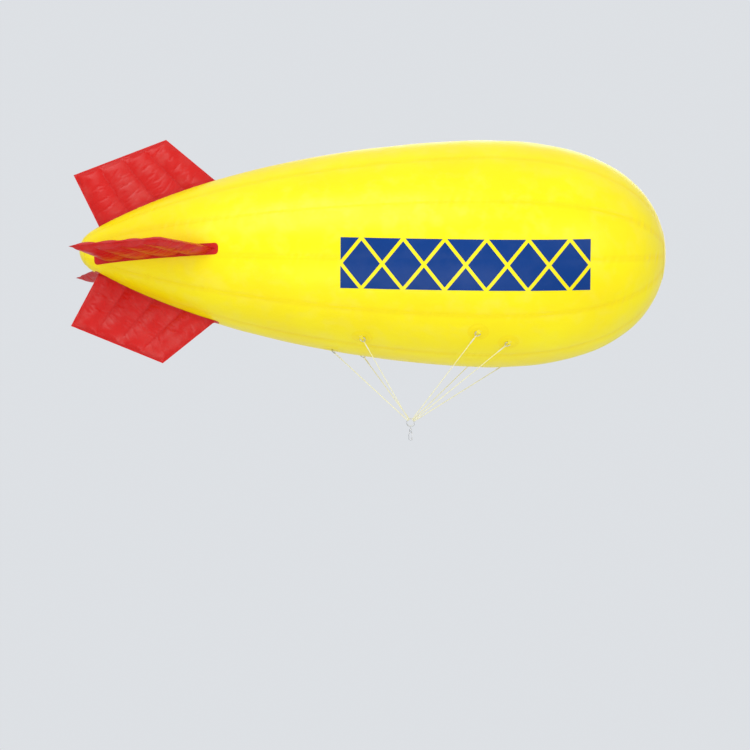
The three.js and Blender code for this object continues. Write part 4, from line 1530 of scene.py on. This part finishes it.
def make_swivel():
    """A forged eye round the ring's wire, with the stem that turns in the hook's barrel."""
    moves = [(0, 0, 3.6 * MM), ((0, 0, -2.4 * MM), (1, 0, 0), 180, 20), (0, 0, -3.6 * MM)]
    moves.append(((0, 0, -6 * MM), (1, 0, 0), 180, 20))
    eye = bent(3.2 * MM, 16, (0, 11 * MM, -6 * MM), (0, 0, 1), moves)
    edit_all(eye)
    bpy.ops.transform.resize(value=(1.25, 1, 1), center_override=(0, 0, 0))
    close()
    collar = [(0, -17.6), (5.4, -18.2), (5.7, -19.4), (5.2, -20.6), (4.3, -21.6)]
    stem = turned(mm([*collar, (4, -23), (4, -33), (0, -33)]), 32)
    swivel = joined([eye, stem])
    smooth(swivel, 50)
    return swivel


def make_barrel():
    """The turned barrel, open at its neck for the stem, with two grooves."""
    outline_points = [
        *[(0, -33.5), (4.5, -33.5), (4.5, -26.5), (5, -26), (10.4, -26), (11.6, -26.5), (12.5, -27.5)],
        *[(13, -29), (13, -33), (12.4, -33.6), (12.4, -34.8), (13, -35.4), (13, -50.6), (12.4, -51.2)],
        *[(12.4, -52.4), (13, -53), (13, -56.5), (12.5, -58.2), (11.4, -59.4), (9.6, -60), (7, -60.6)],
        *[(6, -61.6), (5.6, -63), (0, -63)],
    ]
    return turned(mm(outline_points), 56)


def make_hook_bow():
    """The forged bow: over the top, down its back and round its foot to a blunt nose."""
    moves = [
        ((0, 0, -20 * MM), (0, -1, 0), 180, 24),
        *[(0, 0, -14 * MM), (0, 0, -14 * MM), (0, 0, -14 * MM)],
        *[((0, 0, -62 * MM), (0, -1, 0), 45, 7), (1.06,), ((0, 0, -62 * MM), (0, -1, 0), 45, 7), (1.04,)],
        *[((0, 0, -62 * MM), (0, -1, 0), 45, 7), (0.94,), ((0, 0, -62 * MM), (0, -1, 0), 45, 7), (0.96,)],
        *[(0, 0, 4 * MM), (0.97,), (0, 0, 1.6 * MM), (0.86,), (0, 0, 0.9 * MM), (0.66,)],
    ]
    bow = bent(4.5 * MM, 18, (17.5 * MM, 0, -20 * MM), (0, 0, 1), moves)
    edit_all(bow)
    bpy.ops.transform.resize(value=(1, 1.1, 1), center_override=(0, 0, 0))
    close()
    at = points_of(bow)
    in_seat = (np.abs(at[:, 0]) < 10 * MM) & (at[:, 2] > -79 * MM) & (at[:, 2] < -66 * MM)
    at[in_seat, 2] = -72 * MM
    move_points(bow, at)
    return bow


def make_hook():
    """Barrel, bow, the two cheeks that hold the gate, and its riveted pin."""
    x, z = GATE_PIVOT
    cheek = arc_points(GATE_PIVOT, 5.2 * MM, 0, -180, 14)
    cheek += mm([(11.8, -18), (13.4, -13.6), (18.6, -12), (21.8, -15)])
    cheeks = [plate(cheek, low, low + 2.1 * MM, 0.5 * MM) for low in (-5 * MM, 2.9 * MM)]
    rivet = [(0, -6.3), (1.7, -6.2), (2.7, -5.8), (3.1, -5), (1.6, -4.9), (1.6, 4.9), (3.1, 5), (2.7, 5.8)]
    pin = turned(mm([*rivet, (1.7, 6.2), (0, 6.3)]), 24)
    moved_to(pin, Matrix.Translation((x, 0, z)) @ Matrix.Rotation(QUARTER_TURN, 4, "X"))
    lower = joined([make_hook_bow(), *cheeks, pin])
    moved_to(lower, Matrix.Translation((0, 0, HOOK_TOP)))
    hook = joined([make_barrel(), lower])
    smooth(hook, 42)
    return hook


def make_gate():
    """The gate: a blunt tongue with an eye for its pin."""
    pivot, tip = Vector(GATE_PIVOT), Vector(GATE_TIP)
    lean = math.degrees(math.atan2(*(tip - pivot).yx))
    end = tip - 3.4 * MM * (tip - pivot).normalized()
    outline_points = arc_points(end, 3.4 * MM, lean - 90, lean + 90, 12)
    outline_points += arc_points(pivot, 4.4 * MM, lean + 90, lean + 270, 16)
    gate = plate(outline_points, -2.5 * MM, 2.5 * MM, 0.9 * MM)
    smooth(gate, 42)
    return gate


gathering_ring = make_gathering_ring()
finish_piece(gathering_ring, "gathering_ring", steel, "balloon", "hardware_steel", "bridle_ring")
swivel = moved_to(make_swivel(), Matrix.Translation(SNAP_ORIGIN))
finish_piece(swivel, "swivel_forging", steel, "balloon", "hardware_steel", "swivel_eye")
hook = moved_to(make_hook(), Matrix.Translation(SNAP_ORIGIN))
finish_piece(hook, "hook_forging", steel, "hook", "hardware_steel", "snap_hook")
gate = moved_to(make_gate(), Matrix.Translation(SNAP_ORIGIN + Vector((0, 0, HOOK_TOP))))
finish_piece(gate, "gate_tongue", steel, "gate", "hardware_steel", "hook_gate")


# Filling valve: a film flange, a moulded spout with lugs, and a plug on a hinged strap
VALVE_X = -1.5
VALVE_DEGREES = 45
VALVE_PIN = (-44 * MM, 34 * MM)
FLANGE_LIFT = 1.3 * MM
FLANGE_PROFILE = mm(
    [
        *[(30, 0), (46, 0), (64, 0), (80, 0), (80.3, 0.4), (80, 0.8), (68, 0.9)],
        *[(60.5, 0.9), (59.8, 1.2), (59.2, 1.9), (58.4, 2.2), (46, 2.2), (30, 2.2)],
    ]
)
SPOUT_PROFILE = mm(
    [
        *[(0, -4), (37, -4), (38, -3), (38, 3.4), (37.2, 4.6), (35.6, 5), (31.4, 5.2), (29.2, 6.2)],
        *[(28.2, 8), (28.2, 10), (29.4, 10.8), (29.4, 12), (28.2, 12.8), (28.2, 15), (29.4, 15.8)],
        *[(29.4, 17), (28.2, 17.8), (28.2, 20), (29.4, 20.8), (29.4, 22), (28.2, 22.8), (28.2, 31.4)],
        *[(29.2, 32.4), (29.2, 35), (28.4, 36), (22.4, 36), (21.2, 34.8), (21, 33), (21, 4.4), (20, 3), (8, 3)],
        *[(7, 4), (3, 4.4), (0, 4.4)],
    ]
)
LID_PROFILE = mm(
    [
        *[(0, 25.5), (15.6, 25.5), (17.2, 26), (18, 27.4), (18, 29.2), (19.4, 30), (19.4, 31), (18, 31.8)],
        *[(18, 36.4), (30.6, 36.4), (32, 37.4), (32, 41), (30.8, 42.2), (27, 42.3), (26, 41.4)],
        *[(12, 41.2), (11, 42.2), (0, 42.4)],
    ]
)
LID_RIM = 31.5 * MM
LID_GRIPS = 36
LID_GRIP_DEPTH = 0.5 * MM
LUG_OUTLINE = mm([(-37.8, 31), (-37.4, 20), (-33, 11), (-27, 7), (-27, -4), (-52.5, -4), (-50.2, 31)])
LUG_SPAN = (9.9 * MM, 14.8 * MM)
LUG_RADIUS = 6.2 * MM
PIN_PROFILE = mm(
    [
        *[(0, -16.4), (2.6, -16.2), (3.8, -15.6), (4, -14.9), (2.5, -14.8), (2.5, 14.8)],
        *[(4, 14.9), (3.8, 15.6), (2.6, 16.2), (0, 16.4)],
    ]
)
KNUCKLE_PROFILE = mm([(2.95, -9), (5, -9), (5.5, -8.5), (5.5, 8.5), (5, 9), (2.95, 9)])
STRAP_OUTLINE = mm([(-44, 36.2), (-29, 37.2), (-26, 37.2), (-26, 40), (-30, 40), (-44, 39.3), (-47, 38)])
STRAP_HALF_WIDTH = 9 * MM
upright_pin = Matrix.Translation((VALVE_PIN[0], 0, VALVE_PIN[1])) @ Matrix.Rotation(QUARTER_TURN, 4, "X")


def make_spout():
    """The moulded spout with its two lugs and the pin between them."""
    spout = turned(SPOUT_PROFILE, 72)
    soften(spout, 0.3 * MM)
    head = arc_points(VALVE_PIN, LUG_RADIUS, 180, 0, 14)
    low, high = LUG_SPAN
    lugs = [plate(head + LUG_OUTLINE[:-1], *span, 0.6 * MM) for span in ((-high, -low), (low, high))]
    spout = joined([spout, *lugs])
    smooth(spout, 42)
    return spout


def make_cap():
    """The plug with a gripped rim, its strap and the strap's knuckle."""
    lid = turned(LID_PROFILE, 4 * LID_GRIPS)
    at = points_of(lid)
    radius = np.hypot(at[:, 0], at[:, 1])
    turn = np.arctan2(at[:, 1], at[:, 0])
    grip = LID_GRIP_DEPTH * np.cos(LID_GRIPS * turn) * (radius > LID_RIM)
    at[:, :2] *= (1 + (grip - LID_GRIP_DEPTH) / np.maximum(radius, LID_RIM))[:, None]
    move_points(lid, at)
    strap = plate(STRAP_OUTLINE, -STRAP_HALF_WIDTH, STRAP_HALF_WIDTH, 0.5 * MM)
    knuckle = moved_to(turned(KNUCKLE_PROFILE, 32, closed=True), upright_pin)
    cap = joined([lid, strap, knuckle])
    smooth(cap, 42)
    return cap


valve_frame = on_hull(VALVE_X, VALVE_DEGREES)
flange = turned(FLANGE_PROFILE, 64, closed=True)
lay_disc(flange, valve_frame, FLANGE_LIFT)
smooth(flange)
finish_piece(flange, "valve_flange", weld_vinyl, "balloon", "hull_skin")
spout = moved_to(make_spout(), valve_frame)
finish_piece(spout, "valve_spout", valve_plastic, "balloon", "valve_plastic", "valve_body")
valve_pin = moved_to(turned(PIN_PROFILE, 28), valve_frame @ upright_pin)
smooth(valve_pin)
finish_piece(valve_pin, "valve_pin", steel, "balloon", "hardware_steel")
cap = moved_to(make_cap(), valve_frame)
finish_piece(cap, "valve_plug", cap_plastic, "valve_plug", "valve_plastic", "valve_cap")


# Room and camera

make_camera()
make_room()
bpy.context.scene.view_settings.view_transform = "Standard"
